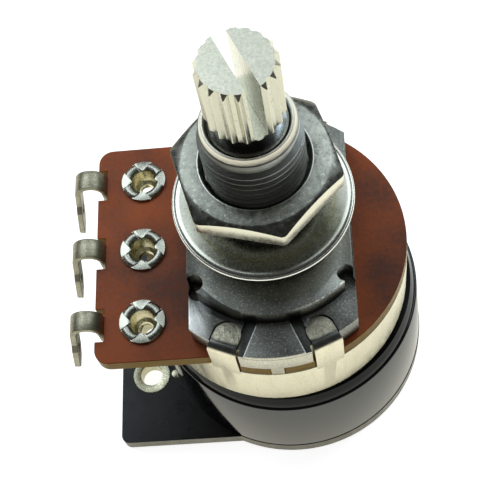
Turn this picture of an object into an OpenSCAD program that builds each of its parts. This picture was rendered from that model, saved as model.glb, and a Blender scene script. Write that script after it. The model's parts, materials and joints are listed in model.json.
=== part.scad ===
// Push-pull rotary potentiometer with a split knurled shaft, in millimetres.
// The origin is on the shaft's axis at the mounting face, +Z runs along the shaft,
// the solder terminals are on the -X side, and the switch is pushed in.

/* [Shaft] */
// Diameter of the shaft, also over the knurl
shaft_d = 6; // [5.6:0.1:6.4]
// Height of the shaft's tip above the mounting face
shaft_tip = 20; // [18.5:0.5:28]
// Length of the knurled end
knurl_len = 6.2; // [4:0.1:6.6]
// Number of teeth on the knurl
knurl_teeth = 18; // [12:1:30]
// Depth of the grooves between the teeth
knurl_depth = 0.42; // [0.2:0.02:0.6]
// Width of the slot that splits the knurled end
slot_w = 1.2; // [0.8:0.1:1.6]
// Depth of the slot from the tip
slot_len = 6.1; // [4:0.1:8]
// Direction of the slot, in degrees from +X
slot_turn = 115; // [0:1:179]
// Distance across the two flats that turn the rotor
key_w = 4.4; // [4:0.1:4.8]
// Diameter of the tail that carries the switch slider
tail_d = 3; // [2.6:0.1:3.2]
// How far the shaft pulls out
travel = 4; // [3:0.25:4]

/* [Bushing and casting] */
// Outside diameter of the bushing's thread
thread_d = 8; // [7.9:0.1:9]
// Distance from one ridge of the thread to the next
thread_pitch = 0.75; // [0.6:0.05:1]
// Depth of the thread
thread_depth = 0.4; // [0.3:0.02:0.45]
// Height of the bushing above the mounting face
bushing_len = 12.7; // [10:0.1:13]
// Diameter of the boss under the washers
boss_d = 12.4; // [11.5:0.1:13]
// Height of the boss above the disc
boss_h = 3; // [1:0.1:4]
// Height of the raised disc above the plate
disc_h = 2; // [1:0.1:3]
// Width of the casting across its flats
plate_w = 14; // [13:0.1:16]
// Thickness of the casting's plate
plate_t = 2.7; // [2:0.1:4]

/* [Nut and washers] */
// Nut width across its flats
nut_w = 12; // [10.5:0.1:13]
// Thickness of the nut
nut_h = 2; // [1.5:0.1:3]
// Height of the nut's underside above the mounting face, run part way down the thread
nut_seat = 5; // [1.2:0.1:8]
// Turn of the nut about the shaft, in degrees
nut_turn = -14; // [-30:1:30]
// Outside diameter of the flat washer
washer_d = 14.9; // [13:0.1:16]
// Thickness of the flat washer
washer_t = 0.5; // [0.3:0.1:0.8]
// Outside diameter of the lock washer
lock_d = 13.2; // [11.5:0.1:13.6]
// Thickness of the lock washer
lock_t = 0.5; // [0.3:0.1:0.6]

/* [Terminal board] */
// Thickness of the board
wafer_t = 1.5; // [1:0.1:2]
// How far the board's tab reaches beyond the can
tab_len = 3.8; // [3.4:0.05:6]
// Width of the tab beside each outer terminal
tab_margin = 3.55; // [2.6:0.05:4]
// Distance from one terminal to the next
terminal_pitch = 6.85; // [6:0.05:7]
// Outside diameter of an eyelet's flared head
eyelet_d = 4; // [3.4:0.1:4.4]
// Inside diameter of an eyelet
eyelet_bore = 2; // [1.6:0.1:2.2]
// Thickness of the terminal metal
terminal_t = 0.5; // [0.4:0.05:0.6]
// Width of a terminal's neck
terminal_w = 1.8; // [1.5:0.1:2]
// Length of a terminal's hanging blade
blade_len = 8.4; // [6:0.1:10]
// Outward slant of the hanging blade, in degrees
blade_slant = 10; // [0:1:15]

/* [Can] */
// Outside diameter of the can
can_d = 23.6; // [21:0.1:26]
// Thickness of the can's metal
can_t = 0.5; // [0.4:0.05:0.6]
// Height of the can
can_h = 6.8; // [6.5:0.1:9]
// Width of a crimp lug
lug_w = 2.4; // [1.8:0.1:2.6]
// Angle of each crimp lug from the plate's middle line, in degrees
lug_angle = 22.3; // [21:0.1:24]

/* [Switch] */
// How far the top of the switch housing stands out beyond the can
housing_step = 0.65; // [0.5:0.05:1.5]
// How much wider the switch housing is at its foot, in radius
housing_draft = 0.45; // [0:0.05:0.6]
// How far the switch sits off the shaft's axis, to +X
switch_shift = 0.4; // [0:0.05:0.4]
// Height of the switch housing
housing_h = 9.9; // [9.5:0.1:11]
// Wall of the switch housing
housing_wall = 1.1; // [0.9:0.1:1.4]
// Height of the switch cover
cover_h = 1.4; // [1:0.1:2]
// Height of the slider
slider_h = 4; // [3.6:0.1:4]

/* [Circuit board] */
// How far the circuit board stands out beyond the housing
pcb_rim = 0.05; // [0:0.05:1]
// How far the circuit board's tab reaches beyond its round part
pcb_tab = 4.25; // [4:0.05:6]
// Width of the circuit board's tab
pcb_w = 23.4; // [20:0.1:25]
// Thickness of the circuit board
pcb_t = 1.6; // [1:0.1:2]
// Outside diameter of a wire pad
pad_d = 3.8; // [3:0.1:4]
// Diameter of a wire hole through its plating
pad_hole = 2.2; // [1:0.1:2.6]
// Distance from one wire pad to the next
pad_pitch = 4.72; // [4.2:0.02:6]

/* [Hidden] */
$fn = 72;

// Clearances
run_gap = 0.04;
key_gap = 0.05;
thread_gap = 0.05;
float_gap = 0.1;
cut = 0.1;

// Radii of the turned and round parts
shaft_r = shaft_d / 2;
tail_r = tail_d / 2;
thread_r = thread_d / 2;
thread_root_r = thread_r - thread_depth;
lead_r = thread_root_r + 0.14;
crest_w = 0.1;
first_ridge_z = 0.45;
lead_len = 1;
thread_turns = floor((bushing_len - lead_len - first_ridge_z) / thread_pitch);
can_r = can_d / 2;
can_in_r = can_r - can_t;
wafer_r = can_r - 0.05;
wafer_reach = can_r + tab_len;
wafer_w = 2 * (terminal_pitch + tab_margin);
eyelet_reach = can_r - 0.4;
housing_r = can_r + housing_step;
cover_r = housing_r - 0.2;
housing_foot_r = housing_r + housing_draft;
pcb_r = housing_foot_r + pcb_rim;
pcb_reach = pcb_r + pcb_tab;
housing_in_r = housing_r - housing_wall;

// Heights of the stack, from the mounting face down
disc_z = -boss_h;
plate_z = disc_z - disc_h;
wafer_z = plate_z - plate_t;
wafer_low_z = wafer_z - wafer_t;
can_low_z = wafer_low_z - can_h;
can_floor_z = can_low_z + can_t;
cover_low_z = can_low_z - cover_h;
housing_low_z = cover_low_z - housing_h;
pcb_low_z = housing_low_z - pcb_t;
joint_h = 0.5;

// Casting
mouth_r = shaft_r + 0.4;
mouth_chamfer = 0.5;
lead_chamfer = 0.42;
lug_seat_r = can_in_r - 0.05;
lug_seat_depth = can_t + 0.1;
lug_reach = 2.2;
lug_tip_r = can_in_r - lug_reach;
disc_r = lug_tip_r - 0.3;
key_half_w = 0.55;
key_in_r = can_r - 0.5;
tongue_half_angle = 15;
pocket_r = 0.75;
pocket_x = plate_w / 2 - pocket_r;
pocket_y = sqrt(disc_r * disc_r - pocket_x * pocket_x) - 0.6;
pocket_sink = 0.6;

// Shaft
knurl_z = shaft_tip - knurl_len;
neck_len = 1.2;
neck_r = shaft_r - knurl_depth - 0.1;
tip_chamfer = 0.3;
key_top_z = wafer_z + 0.1;
rotor_top_z = wafer_z - float_gap;
rotor_low_z = can_floor_z + float_gap;
key_low_z = rotor_low_z + 0.2;
clip_t = 0.5;
clip_w = 1.1;
clip_r = tail_r + clip_w;
groove_r = tail_r - 0.4;
clip_mouth = 1.9;
clip_hole = 0.6;
slider_top_z = cover_low_z - travel - 0.2;
slider_low_z = slider_top_z - slider_h;
tail_end_z = slider_low_z - clip_t - 0.4;

// Rotor and wiper
hub_r = shaft_r + 0.9;
wafer_hole_r = hub_r + 0.3;
rotor_disc_r = can_in_r - 2.2;
band = rotor_disc_r - wafer_hole_r;
rotor_disc_t = 1.2;
wiper_room = 1.8;
rotor_disc_z = wafer_low_z - wiper_room;
stop_in_r = rotor_disc_r - 0.6;
stop_out_r = can_in_r - 0.7;
stop_half_angle = 19;
stop_drop = 1.8;
wiper_t = 0.25;
finger_reach = 3.6;
track_t = 0.06;
track_r = wafer_hole_r + 0.82 * band;
track_w = 0.32 * band;
ring_r = wafer_hole_r + 0.19 * band;
ring_w = 0.2 * band;
finger_half_w = 0.09 * band;
track_gap_angle = 26;

// Terminals and eyelets
terminal_z = wafer_low_z - terminal_t;
notch_w = 3;
notch_in = 1;
riser_in = 0.55;
riser_x = wafer_reach - riser_in;
riser_bend_r = terminal_t;
arch_r = 1.22;
arch_z = wafer_z - 0.05;
eyelet_wall = 0.25;
eyelet_out_r = eyelet_bore / 2 + eyelet_wall;
eyelet_head_h = 0.45;
eyelet_foot_h = 0.3;
eyelet_foot_r = eyelet_out_r + 0.45;
eyelet_throat_r = eyelet_bore / 2 - 0.3;
eyelet_slits = 5;
terminal_pad_r = eyelet_out_r + 0.75;
blade_w = terminal_w + 0.5;

// Switch mechanism
cover_hole_r = clip_r + 0.5;
can_hole_r = tail_r + 0.3;
rivet_r = 0.8;
rivet_head_r = 1.3;
rivet_head_h = 0.4;
rivet_circle_r = can_in_r - 1.97;
rivet_place = rivet_circle_r * sin(45);
rail_half_w = 1.5;
rail_in_y = housing_in_r - 4;
slider_half_x = 5;
slider_half_y = rail_in_y + 1.5;
slider_gap = 0.1;
ball_r = 1;
ball_depth = 0.28;
ball_y = rail_in_y + ball_depth - ball_r;
detent_z = (slider_top_z + slider_low_z) / 2;
groove_depth = ball_depth + 0.02;
ball_bore_r = ball_r + 0.04;
spring_in_y = tail_r + 0.9;
spring_wire = 0.3;
spring_gap = 0.02;
spring_r = ball_r - 0.25;
coil_pitch = 0.7;
post_r = 1.5;
post_turn = 26.5;
peg_x = (housing_in_r - post_r + 0.3) * cos(post_turn);
peg_y = (housing_in_r - post_r + 0.3) * sin(post_turn);
peg_r = 0.9;
peg_head_r = 1.4;
fixed_x = housing_in_r - 3.5;
contact_t = 0.4;
bow_t = 0.25;
bow_inset = 0.6;
bow_gap = 0.02;
contact_half_w = 1;
contact_y = 2.4;
contact_top_z = cover_low_z - 0.6;
contact_split = 0.35;
upper_leg_y = 4.4;
pin_w = 1;
pin_hole_r = 0.62;
joint_top_r = 0.9;
joint_tip_r = 0.5;

// Circuit board
pad_x = pcb_reach - 3;
via_x = pad_x - 2.5;
via_r = 0.45;
plating_t = 0.06;
foot_gap = 0.05;

// Points on an arc about c, from angle a to angle b
function arc_points(c, r, a, b, n) =
  [for (i = [0 : n]) let (t = a + (b - a) * i / n) [c[0] + r * cos(t), c[1] + r * sin(t)]];

// A wedge about +X, of the given half angle
module wedge(r, half_angle) {
  far = r / cos(half_angle);
  polygon([[0, 0], [far * cos(half_angle), -far * sin(half_angle)], [far * cos(half_angle), far * sin(half_angle)]]);
}

// A flat ring
module ring(outer, inner, h) {
  difference() {
    cylinder(r = outer, h = h);
    translate([0, 0, -cut]) cylinder(r = inner, h = h + 2 * cut);
  }
}

// Puts its children at the four crimp lugs, with +X pointing outwards
module at_lugs() {
  for (side = [-90, 90], lean = [-lug_angle, lug_angle])
    rotate(side + lean) children();
}

// Puts its children at the front and the back of the casting, with +X pointing outwards
module at_tongues() {
  for (side = [-90, 90]) rotate(side) children();
}

// Side view of the thread, from its foot to the smooth lead: one ridge for each turn
function thread_profile() =
  [for (i = [0 : thread_turns - 1])
    let (z = first_ridge_z + i * thread_pitch, root_z = (thread_pitch - crest_w) / 2)
    each [[thread_root_r, z - root_z], [thread_r, z - crest_w / 2], [thread_r, z + crest_w / 2], [thread_root_r, z + root_z]]];

module bushing_and_boss() {
  lead_z = first_ridge_z + thread_turns * thread_pitch;
  rotate_extrude() polygon(concat(
    [[0, wafer_z], [boss_d / 2, wafer_z], [boss_d / 2, -0.2], [boss_d / 2 - 0.2, 0], [thread_root_r, 0]],
    thread_profile(),
    [
      [thread_root_r, lead_z],
      [lead_r, lead_z + 0.2],
      [lead_r, bushing_len - 0.2],
      [thread_r - lead_chamfer, bushing_len],
      [0, bushing_len]
    ]
  ));
}

module casting_plate() {
  intersection() {
    translate([0, 0, wafer_z]) cylinder(r = lug_seat_r, h = plate_t);
    translate([-plate_w / 2, -can_r, wafer_z]) cube([plate_w, can_d, plate_t]);
  }
  at_tongues() intersection() {
    translate([0, 0, wafer_z]) cylinder(r = can_r, h = plate_t);
    translate([0, 0, wafer_z]) linear_extrude(plate_t) wedge(can_r + 1, tongue_half_angle);
  }
  at_tongues() intersection() {
    translate([0, 0, wafer_low_z]) ring(can_r, key_in_r, wafer_t + cut);
    translate([key_in_r - 1, -key_half_w, wafer_low_z]) cube([2, 2 * key_half_w, wafer_t + cut]);
  }
}

module casting_disc() {
  disc_w = plate_w - 0.3;
  intersection() {
    translate([0, 0, plate_z - cut]) cylinder(r = disc_r, h = disc_h + cut);
    translate([-disc_w / 2, -disc_r, plate_z - cut]) cube([disc_w, 2 * disc_r, disc_h + cut]);
  }
}

// The seat of a crimp lug: a lowered place with a broken edge
module lug_seat() {
  seat_w = lug_w + 0.8;
  seat_z = plate_z - lug_seat_depth;
  edge = 0.4;
  translate([lug_tip_r - 0.3, -seat_w / 2, seat_z]) cube([4, seat_w, lug_seat_depth + cut]);
  translate([lug_seat_r, 0, seat_z]) rotate([0, 45, 0]) cube([edge, seat_w, edge], center = true);
}

module front_plate() {
  color([0.36, 0.37, 0.37]) difference() {
    union() {
      bushing_and_boss();
      casting_disc();
      casting_plate();
    }
    at_lugs() lug_seat();
    for (sx = [-1, 1], sy = [-1, 1])
      translate([sx * pocket_x, sy * pocket_y, plate_z - pocket_sink]) cylinder(r = pocket_r, h = disc_h + pocket_sink + cut);
    translate([0, 0, wafer_low_z - cut]) cylinder(r = shaft_r + run_gap, h = bushing_len - wafer_low_z + 2 * cut);
    translate([0, 0, bushing_len - mouth_chamfer])
      cylinder(r1 = shaft_r + run_gap, r2 = mouth_r, h = mouth_chamfer + 0.001);
  }
}

module hex_nut() {
  corner_r = nut_w / 2 / cos(30);
  ring_r_top = nut_w / 2 - 0.25;
  hole_r = thread_r + thread_gap;
  countersink = 0.4;
  color([0.55, 0.56, 0.55]) translate([0, 0, nut_seat]) difference() {
    intersection() {
      rotate(nut_turn) cylinder(r = corner_r, h = nut_h, $fn = 6);
      rotate_extrude() polygon([
        [0, 0],
        [corner_r + 0.1, 0],
        [corner_r + 0.1, nut_h - (corner_r + 0.1 - ring_r_top) * tan(30)],
        [ring_r_top, nut_h],
        [0, nut_h]
      ]);
    }
    translate([0, 0, -cut]) cylinder(r = hole_r, h = nut_h + 2 * cut);
    translate([0, 0, nut_h - countersink]) cylinder(r1 = hole_r, r2 = hole_r + countersink, h = countersink + 0.001);
    translate([0, 0, -0.001]) cylinder(r1 = hole_r + countersink, r2 = hole_r, h = countersink);
  }
}

module flat_washer() {
  edge = min(0.15, washer_t / 3);
  hole_r = thread_r + 0.15;
  color([0.7, 0.71, 0.68]) rotate_extrude() translate([0, lock_t]) polygon([
    [hole_r, 0],
    [washer_d / 2 - edge, 0],
    [washer_d / 2, edge],
    [washer_d / 2, washer_t - edge],
    [washer_d / 2 - edge, washer_t],
    [hole_r + edge, washer_t],
    [hole_r, washer_t - edge]
  ]);
}

module lock_washer() {
  teeth = 10;
  hole_r = thread_r + 0.15;
  tooth_root_r = lock_d / 2 - 1.3;
  color([0.72, 0.73, 0.7]) difference() {
    cylinder(r = lock_d / 2, h = lock_t);
    translate([0, 0, -cut]) cylinder(r = hole_r, h = lock_t + 2 * cut);
    for (i = [0 : teeth - 1]) rotate(i * 360 / teeth)
      translate([hole_r - 0.5, -0.45, -cut]) cube([tooth_root_r - hole_r + 0.5, 0.9, lock_t + 2 * cut]);
  }
}

// Outline of the knurl: flat-topped teeth with V grooves between them
module knurl_outline() {
  pitch = 360 / knurl_teeth;
  first_groove = 2;
  polygon([
    for (i = [0 : knurl_teeth - 1], p = [[0, knurl_depth], [0.28, 0], [0.72, 0]])
      let (a = first_groove + (i + p[0]) * pitch, r = shaft_r - p[1]) [r * cos(a), r * sin(a)]
  ]);
}

module shaft_head() {
  intersection() {
    translate([0, 0, knurl_z]) linear_extrude(knurl_len) knurl_outline();
    rotate_extrude() polygon([
      [0, knurl_z],
      [shaft_r - knurl_depth, knurl_z],
      [shaft_r, knurl_z + 0.25],
      [shaft_r, shaft_tip - tip_chamfer],
      [shaft_r - tip_chamfer, shaft_tip],
      [0, shaft_tip]
    ]);
  }
}

module shaft() {
  body_top_z = knurl_z - neck_len;
  color([0.8, 0.79, 0.75]) difference() {
    union() {
      shaft_head();
      translate([0, 0, body_top_z - cut]) cylinder(r = neck_r, h = neck_len + 2 * cut);
      translate([0, 0, key_top_z]) cylinder(r = shaft_r, h = body_top_z - key_top_z);
      intersection() {
        translate([0, 0, key_low_z]) cylinder(r = shaft_r, h = key_top_z - key_low_z + cut);
        translate([-shaft_r, -key_w / 2, key_low_z]) cube([shaft_d, key_w, key_top_z - key_low_z + cut]);
      }
      translate([0, 0, tail_end_z]) cylinder(r = tail_r, h = key_low_z - tail_end_z + cut);
    }
    rotate(slot_turn) translate([-shaft_d, -slot_w / 2, shaft_tip - slot_len]) cube([2 * shaft_d, slot_w, slot_len + 1]);
    for (z = [slider_top_z, slider_low_z - clip_t]) translate([0, 0, z]) ring(tail_r + 1, groove_r, clip_t);
  }
}

// An E-shaped retaining ring, open towards +X
module clip() {
  difference() {
    cylinder(r = clip_r, h = clip_t);
    translate([0, 0, -cut]) cylinder(r = groove_r, h = clip_t + 2 * cut);
    translate([0, -clip_mouth / 2, -cut]) cube([2 * clip_r, clip_mouth, clip_t + 2 * cut]);
    for (a = [110, 250]) rotate(a) translate([tail_r, -clip_hole / 2, -cut]) cube([clip_hole, clip_hole, clip_t + 2 * cut]);
  }
}

module upper_clip() {
  color([0.5, 0.5, 0.5]) translate([0, 0, slider_top_z]) clip();
}

module lower_clip() {
  color([0.5, 0.5, 0.5]) translate([0, 0, slider_low_z - clip_t]) clip();
}

module rotor() {
  bore_r = shaft_r + key_gap;
  color([0.12, 0.12, 0.12]) difference() {
    union() {
      translate([0, 0, rotor_low_z]) cylinder(r = hub_r, h = rotor_top_z - rotor_low_z);
      translate([0, 0, rotor_disc_z - rotor_disc_t]) cylinder(r = rotor_disc_r, h = rotor_disc_t);
      translate([0, 0, rotor_disc_z - rotor_disc_t - stop_drop]) intersection() {
        ring(stop_out_r, stop_in_r, rotor_disc_t + stop_drop);
        linear_extrude(rotor_disc_t + stop_drop) wedge(stop_out_r + 1, stop_half_angle);
      }
    }
    intersection() {
      translate([0, 0, rotor_low_z - cut]) cylinder(r = bore_r, h = rotor_top_z - rotor_low_z + 2 * cut);
      translate([-bore_r, -key_w / 2 - key_gap, rotor_low_z - cut])
        cube([2 * bore_r, key_w + 2 * key_gap, rotor_top_z - rotor_low_z + 2 * cut]);
    }
  }
}

// A wiper finger that rises from the base and touches the printed ring at radius r
module wiper_finger(r) {
  tip_z = wafer_low_z - track_t - 0.03;
  base_z = rotor_disc_z;
  translate([r - finger_half_w, 0, 0]) rotate([90, 0, 90]) linear_extrude(2 * finger_half_w) polygon([
    [-finger_reach, base_z],
    [-finger_reach + 0.6, base_z],
    [-0.5, tip_z - wiper_t],
    [0.3, tip_z - wiper_t],
    [0.9, tip_z - 0.5],
    [1.1, tip_z - 0.35],
    [0.4, tip_z],
    [-0.6, tip_z],
    [-finger_reach, base_z + wiper_t]
  ]);
}

module wiper() {
  base_r = hub_r + 0.1;
  arm_w = 1.8;
  color([0.75, 0.6, 0.35]) {
    translate([0, 0, rotor_disc_z]) ring(ring_r + finger_half_w, base_r, wiper_t);
    translate([base_r + 0.2, -finger_reach, rotor_disc_z])
      cube([track_r + finger_half_w - base_r - 0.2, arm_w, wiper_t]);
    wiper_finger(track_r);
    wiper_finger(ring_r);
  }
}

// Plan of the terminal board: a disc with a tab to -X whose corners are rounded
module wafer_outline() {
  corner = 1.3;
  half = wafer_w / 2;
  circle(r = wafer_r);
  translate([-wafer_reach + corner, -half]) square([wafer_reach - corner, wafer_w]);
  translate([-wafer_reach, -half + corner]) square([wafer_reach, wafer_w - 2 * corner]);
  for (sy = [-1, 1]) translate([-wafer_reach + corner, sy * (half - corner)]) circle(r = corner);
}

module wafer() {
  color([0.45, 0.25, 0.16]) difference() {
    translate([0, 0, wafer_low_z]) linear_extrude(wafer_t) wafer_outline();
    translate([0, 0, wafer_low_z - cut]) cylinder(r = wafer_hole_r, h = wafer_t + 2 * cut);
    for (k = [-1, 0, 1]) {
      translate([-eyelet_reach, k * terminal_pitch, wafer_low_z - cut]) cylinder(r = eyelet_out_r, h = wafer_t + 2 * cut);
      translate([-wafer_reach - 1, k * terminal_pitch - notch_w / 2, wafer_low_z - cut])
        cube([1 + notch_in, notch_w, wafer_t + 2 * cut]);
    }
    at_lugs() translate([can_in_r - 0.1, -lug_w / 2 - 0.15, wafer_low_z - cut]) cube([4, lug_w + 0.3, wafer_t + 2 * cut]);
    at_tongues() translate([key_in_r - 0.05, -key_half_w - 0.05, wafer_low_z - cut])
      cube([4, 2 * key_half_w + 0.1, wafer_t + 2 * cut]);
  }
}

// The resistive horseshoe, with a leg to each outer eyelet
module carbon_track() {
  leg_w = 1.4;
  leg_len = eyelet_reach - sqrt(track_r * track_r - terminal_pitch * terminal_pitch);
  color([0.1, 0.1, 0.11]) translate([0, 0, wafer_low_z - track_t]) difference() {
    union() {
      ring(track_r + track_w / 2, track_r - track_w / 2, track_t);
      for (sy = [-1, 1]) translate([-eyelet_reach, sy * terminal_pitch - leg_w / 2, 0]) cube([leg_len, leg_w, track_t]);
    }
    translate([0, 0, -cut]) linear_extrude(track_t + 2 * cut) rotate(180) wedge(track_r + 2, track_gap_angle);
    for (sy = [-1, 1]) translate([-eyelet_reach, sy * terminal_pitch, -cut])
      cylinder(r = terminal_pad_r + 0.02, h = track_t + 2 * cut);
  }
}

// The silver ring that the wiper's inner finger touches, with a strip to the middle eyelet
module collector_ring() {
  strip_w = 1.4;
  color([0.75, 0.75, 0.72]) translate([0, 0, wafer_low_z - track_t]) difference() {
    union() {
      ring(ring_r + ring_w / 2, ring_r - ring_w / 2, track_t);
      translate([-eyelet_reach, -strip_w / 2, 0]) cube([eyelet_reach - ring_r, strip_w, track_t]);
    }
    translate([-eyelet_reach, 0, -cut]) cylinder(r = terminal_pad_r + 0.02, h = track_t + 2 * cut);
  }
}

// Side view of a terminal's strip: along the board's underside, up the notch and over the arch
module terminal_profile() {
  bend_c = [-riser_x + riser_bend_r, terminal_z + terminal_t / 2 + riser_bend_r];
  arch_c = [-riser_x - arch_r, arch_z];
  half = terminal_t / 2;
  polygon(concat(
    [[-eyelet_reach, terminal_z]],
    arc_points(bend_c, riser_bend_r + half, 270, 180, 6),
    arc_points(arch_c, arch_r - half, 0, 180 - blade_slant, 12),
    arc_points(arch_c, arch_r + half, 180 - blade_slant, 0, 14),
    arc_points(bend_c, riser_bend_r - half, 180, 270, 6),
    [[-eyelet_reach, terminal_z + terminal_t]]
  ));
}

// The flat blade below the arch, drawn along +X from the arch's end, with the solder eye
module terminal_blade() {
  eye_at = blade_len * 0.52;
  eye_half = 0.5;
  eye_r = 0.6;
  difference() {
    linear_extrude(terminal_t) polygon([
      [0, -terminal_w / 2],
      [eye_at - 2, -terminal_w / 2],
      [eye_at - 1.2, -blade_w / 2],
      [blade_len - 1.4, -blade_w / 2],
      [blade_len, -0.6],
      [blade_len, 0.6],
      [blade_len - 1.4, blade_w / 2],
      [eye_at - 1.2, blade_w / 2],
      [eye_at - 2, terminal_w / 2],
      [0, terminal_w / 2]
    ]);
    for (d = [-eye_half, eye_half]) translate([eye_at + d, 0, -cut]) cylinder(r = eye_r, h = terminal_t + 2 * cut);
    translate([eye_at - eye_half, -eye_r, -cut]) cube([2 * eye_half, 2 * eye_r, terminal_t + 2 * cut]);
  }
}

module terminal(k) {
  end_angle = 180 - blade_slant;
  end_x = -riser_x - arch_r + arch_r * cos(end_angle);
  end_z = arch_z + arch_r * sin(end_angle);
  color([0.62, 0.62, 0.6]) translate([0, k * terminal_pitch, 0]) {
    difference() {
      union() {
        translate([0, terminal_w / 2, 0]) rotate([90, 0, 0]) linear_extrude(terminal_w) terminal_profile();
        translate([-eyelet_reach, 0, terminal_z]) cylinder(r = terminal_pad_r, h = terminal_t);
      }
      translate([-eyelet_reach, 0, terminal_z - cut]) cylinder(r = eyelet_out_r, h = terminal_t + 2 * cut);
    }
    translate([end_x, 0, end_z]) rotate([0, 90 + blade_slant, 0]) translate([0, 0, -terminal_t / 2]) terminal_blade();
  }
}

module terminal_1() {
  terminal(1);
}

module terminal_2() {
  terminal(0);
}

module terminal_3() {
  terminal(-1);
}

// A tubular rivet: its top is flared and split into petals, its foot is rolled under the terminal
module eyelet(k) {
  bore_r = eyelet_bore / 2;
  head_r = eyelet_d / 2;
  foot_z = terminal_z - eyelet_foot_h;
  slit_w = 0.3;
  color([0.68, 0.66, 0.6]) translate([-eyelet_reach, k * terminal_pitch, 0]) difference() {
    rotate_extrude() polygon([
      [bore_r, wafer_low_z],
      [eyelet_throat_r, wafer_low_z - 0.15],
      [eyelet_throat_r, foot_z],
      [eyelet_foot_r - 0.15, foot_z],
      [eyelet_foot_r, terminal_z - 0.1],
      [eyelet_foot_r, terminal_z],
      [eyelet_out_r, terminal_z],
      [eyelet_out_r, wafer_z],
      [head_r, wafer_z],
      [head_r, wafer_z + 0.2],
      [bore_r + 0.35, wafer_z + eyelet_head_h],
      [bore_r, wafer_z + eyelet_head_h - 0.2]
    ]);
    for (i = [0 : eyelet_slits - 1]) rotate(20 + i * 360 / eyelet_slits)
      translate([bore_r + 0.1, -slit_w / 2, wafer_z - cut]) cube([head_r, slit_w, 1]);
  }
}

module eyelet_1() {
  eyelet(1);
}

module eyelet_2() {
  eyelet(0);
}

module eyelet_3() {
  eyelet(-1);
}

// Side view of a crimp lug: up from the can's wall and folded over the casting
module lug_profile() {
  bend_r = 0.8;
  top_z = plate_z - lug_seat_depth + can_t;
  polygon(concat(
    [[can_in_r, wafer_low_z - 0.6]],
    [[can_r, wafer_low_z - 0.6]],
    arc_points([can_r - bend_r, top_z - bend_r], bend_r, 0, 90, 8),
    [[lug_tip_r, top_z], [lug_tip_r, top_z - can_t]],
    arc_points([can_r - bend_r, top_z - bend_r], bend_r - can_t, 90, 0, 5)
  ));
}

module crimp_lug() {
  end_r = lug_w / 2;
  intersection() {
    translate([0, lug_w / 2, 0]) rotate([90, 0, 0]) linear_extrude(lug_w) lug_profile();
    translate([0, 0, can_low_z]) linear_extrude(-can_low_z) union() {
      translate([lug_tip_r + end_r, 0]) circle(r = end_r);
      translate([lug_tip_r + end_r, -end_r]) square([can_r - lug_tip_r, lug_w]);
    }
  }
}

module can() {
  corner = 0.5;
  window_w = 2 * terminal_pitch + 5;
  window_h = 2.2;
  stop_w = 2.4;
  stop_in_x = stop_in_r + 0.4;
  color([0.85, 0.83, 0.75]) {
    difference() {
      rotate_extrude() polygon(concat(
        [[can_hole_r, can_low_z]],
        arc_points([can_r - corner, can_low_z + corner], corner, 270, 360, 4),
        [[can_r, wafer_low_z], [can_in_r, wafer_low_z], [can_in_r, can_floor_z], [can_hole_r, can_floor_z]]
      ));
      translate([-can_r - 1, -window_w / 2, wafer_low_z - window_h]) cube([can_r, window_w, window_h + 1]);
      for (s = [-1, 1]) translate([s * rivet_place, s * rivet_place, can_low_z - cut]) cylinder(r = rivet_r, h = 1);
    }
    at_lugs() crimp_lug();
    translate([-can_in_r - 0.1, -stop_w / 2, can_floor_z - cut])
      cube([can_in_r + 0.1 - stop_in_x, stop_w, rotor_disc_z - rotor_disc_t - can_floor_z]);
  }
}

module frame_rivets() {
  color([0.7, 0.7, 0.66]) for (s = [-1, 1]) translate([s * rivet_place, s * rivet_place, 0]) {
    translate([0, 0, cover_low_z]) cylinder(r = rivet_r, h = can_floor_z - cover_low_z);
    translate([0, 0, can_floor_z]) cylinder(r = rivet_head_r, h = rivet_head_h);
    translate([0, 0, cover_low_z - rivet_head_h]) cylinder(r = rivet_head_r, h = rivet_head_h);
  }
}

module switch_cover() {
  edge = 0.45;
  color([0.08, 0.08, 0.08]) difference() {
    translate([switch_shift, 0, 0]) rotate_extrude() polygon(concat(
      [[0, cover_low_z], [cover_r, cover_low_z]],
      arc_points([cover_r - edge, can_low_z - edge], edge, 0, 90, 4),
      [[0, can_low_z]]
    ));
    translate([0, 0, cover_low_z - cut]) cylinder(r = cover_hole_r, h = cover_h + 2 * cut);
    for (s = [-1, 1]) translate([s * rivet_place, s * rivet_place, cover_low_z - cut])
      cylinder(r = rivet_r, h = cover_h + 2 * cut);
  }
}

// A guide rail inside the housing, with the groove that a detent ball runs in
module rail() {
  difference() {
    translate([-rail_half_w, rail_in_y, housing_low_z])
      cube([2 * rail_half_w, housing_in_r + 0.3 - rail_in_y, housing_h]);
    translate([-ball_r, rail_in_y - cut, detent_z - ball_r - 0.1])
      cube([2 * ball_r, cut + groove_depth, travel + 2 * ball_r + 0.2]);
  }
}

module housing_wall_ring() {
  difference() {
    translate([switch_shift, 0, housing_low_z]) cylinder(r1 = housing_foot_r, r2 = housing_r, h = housing_h);
    translate([0, 0, housing_low_z - cut]) cylinder(r = housing_in_r, h = housing_h + 2 * cut);
  }
}

module switch_housing() {
  color([0.07, 0.07, 0.07]) {
    housing_wall_ring();
    rail();
    mirror([0, 1, 0]) rail();
    for (s = [-1, 1]) translate([peg_x, s * peg_y, 0]) {
      translate([0, 0, housing_low_z]) cylinder(r = post_r, h = housing_h - rivet_head_h - 0.2);
      translate([0, 0, pcb_low_z - 0.001]) cylinder(r = peg_r, h = pcb_t + 0.2);
      translate([0, 0, pcb_low_z - joint_h]) cylinder(r1 = peg_head_r - 0.3, r2 = peg_head_r, h = joint_h);
    }
  }
}

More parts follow.
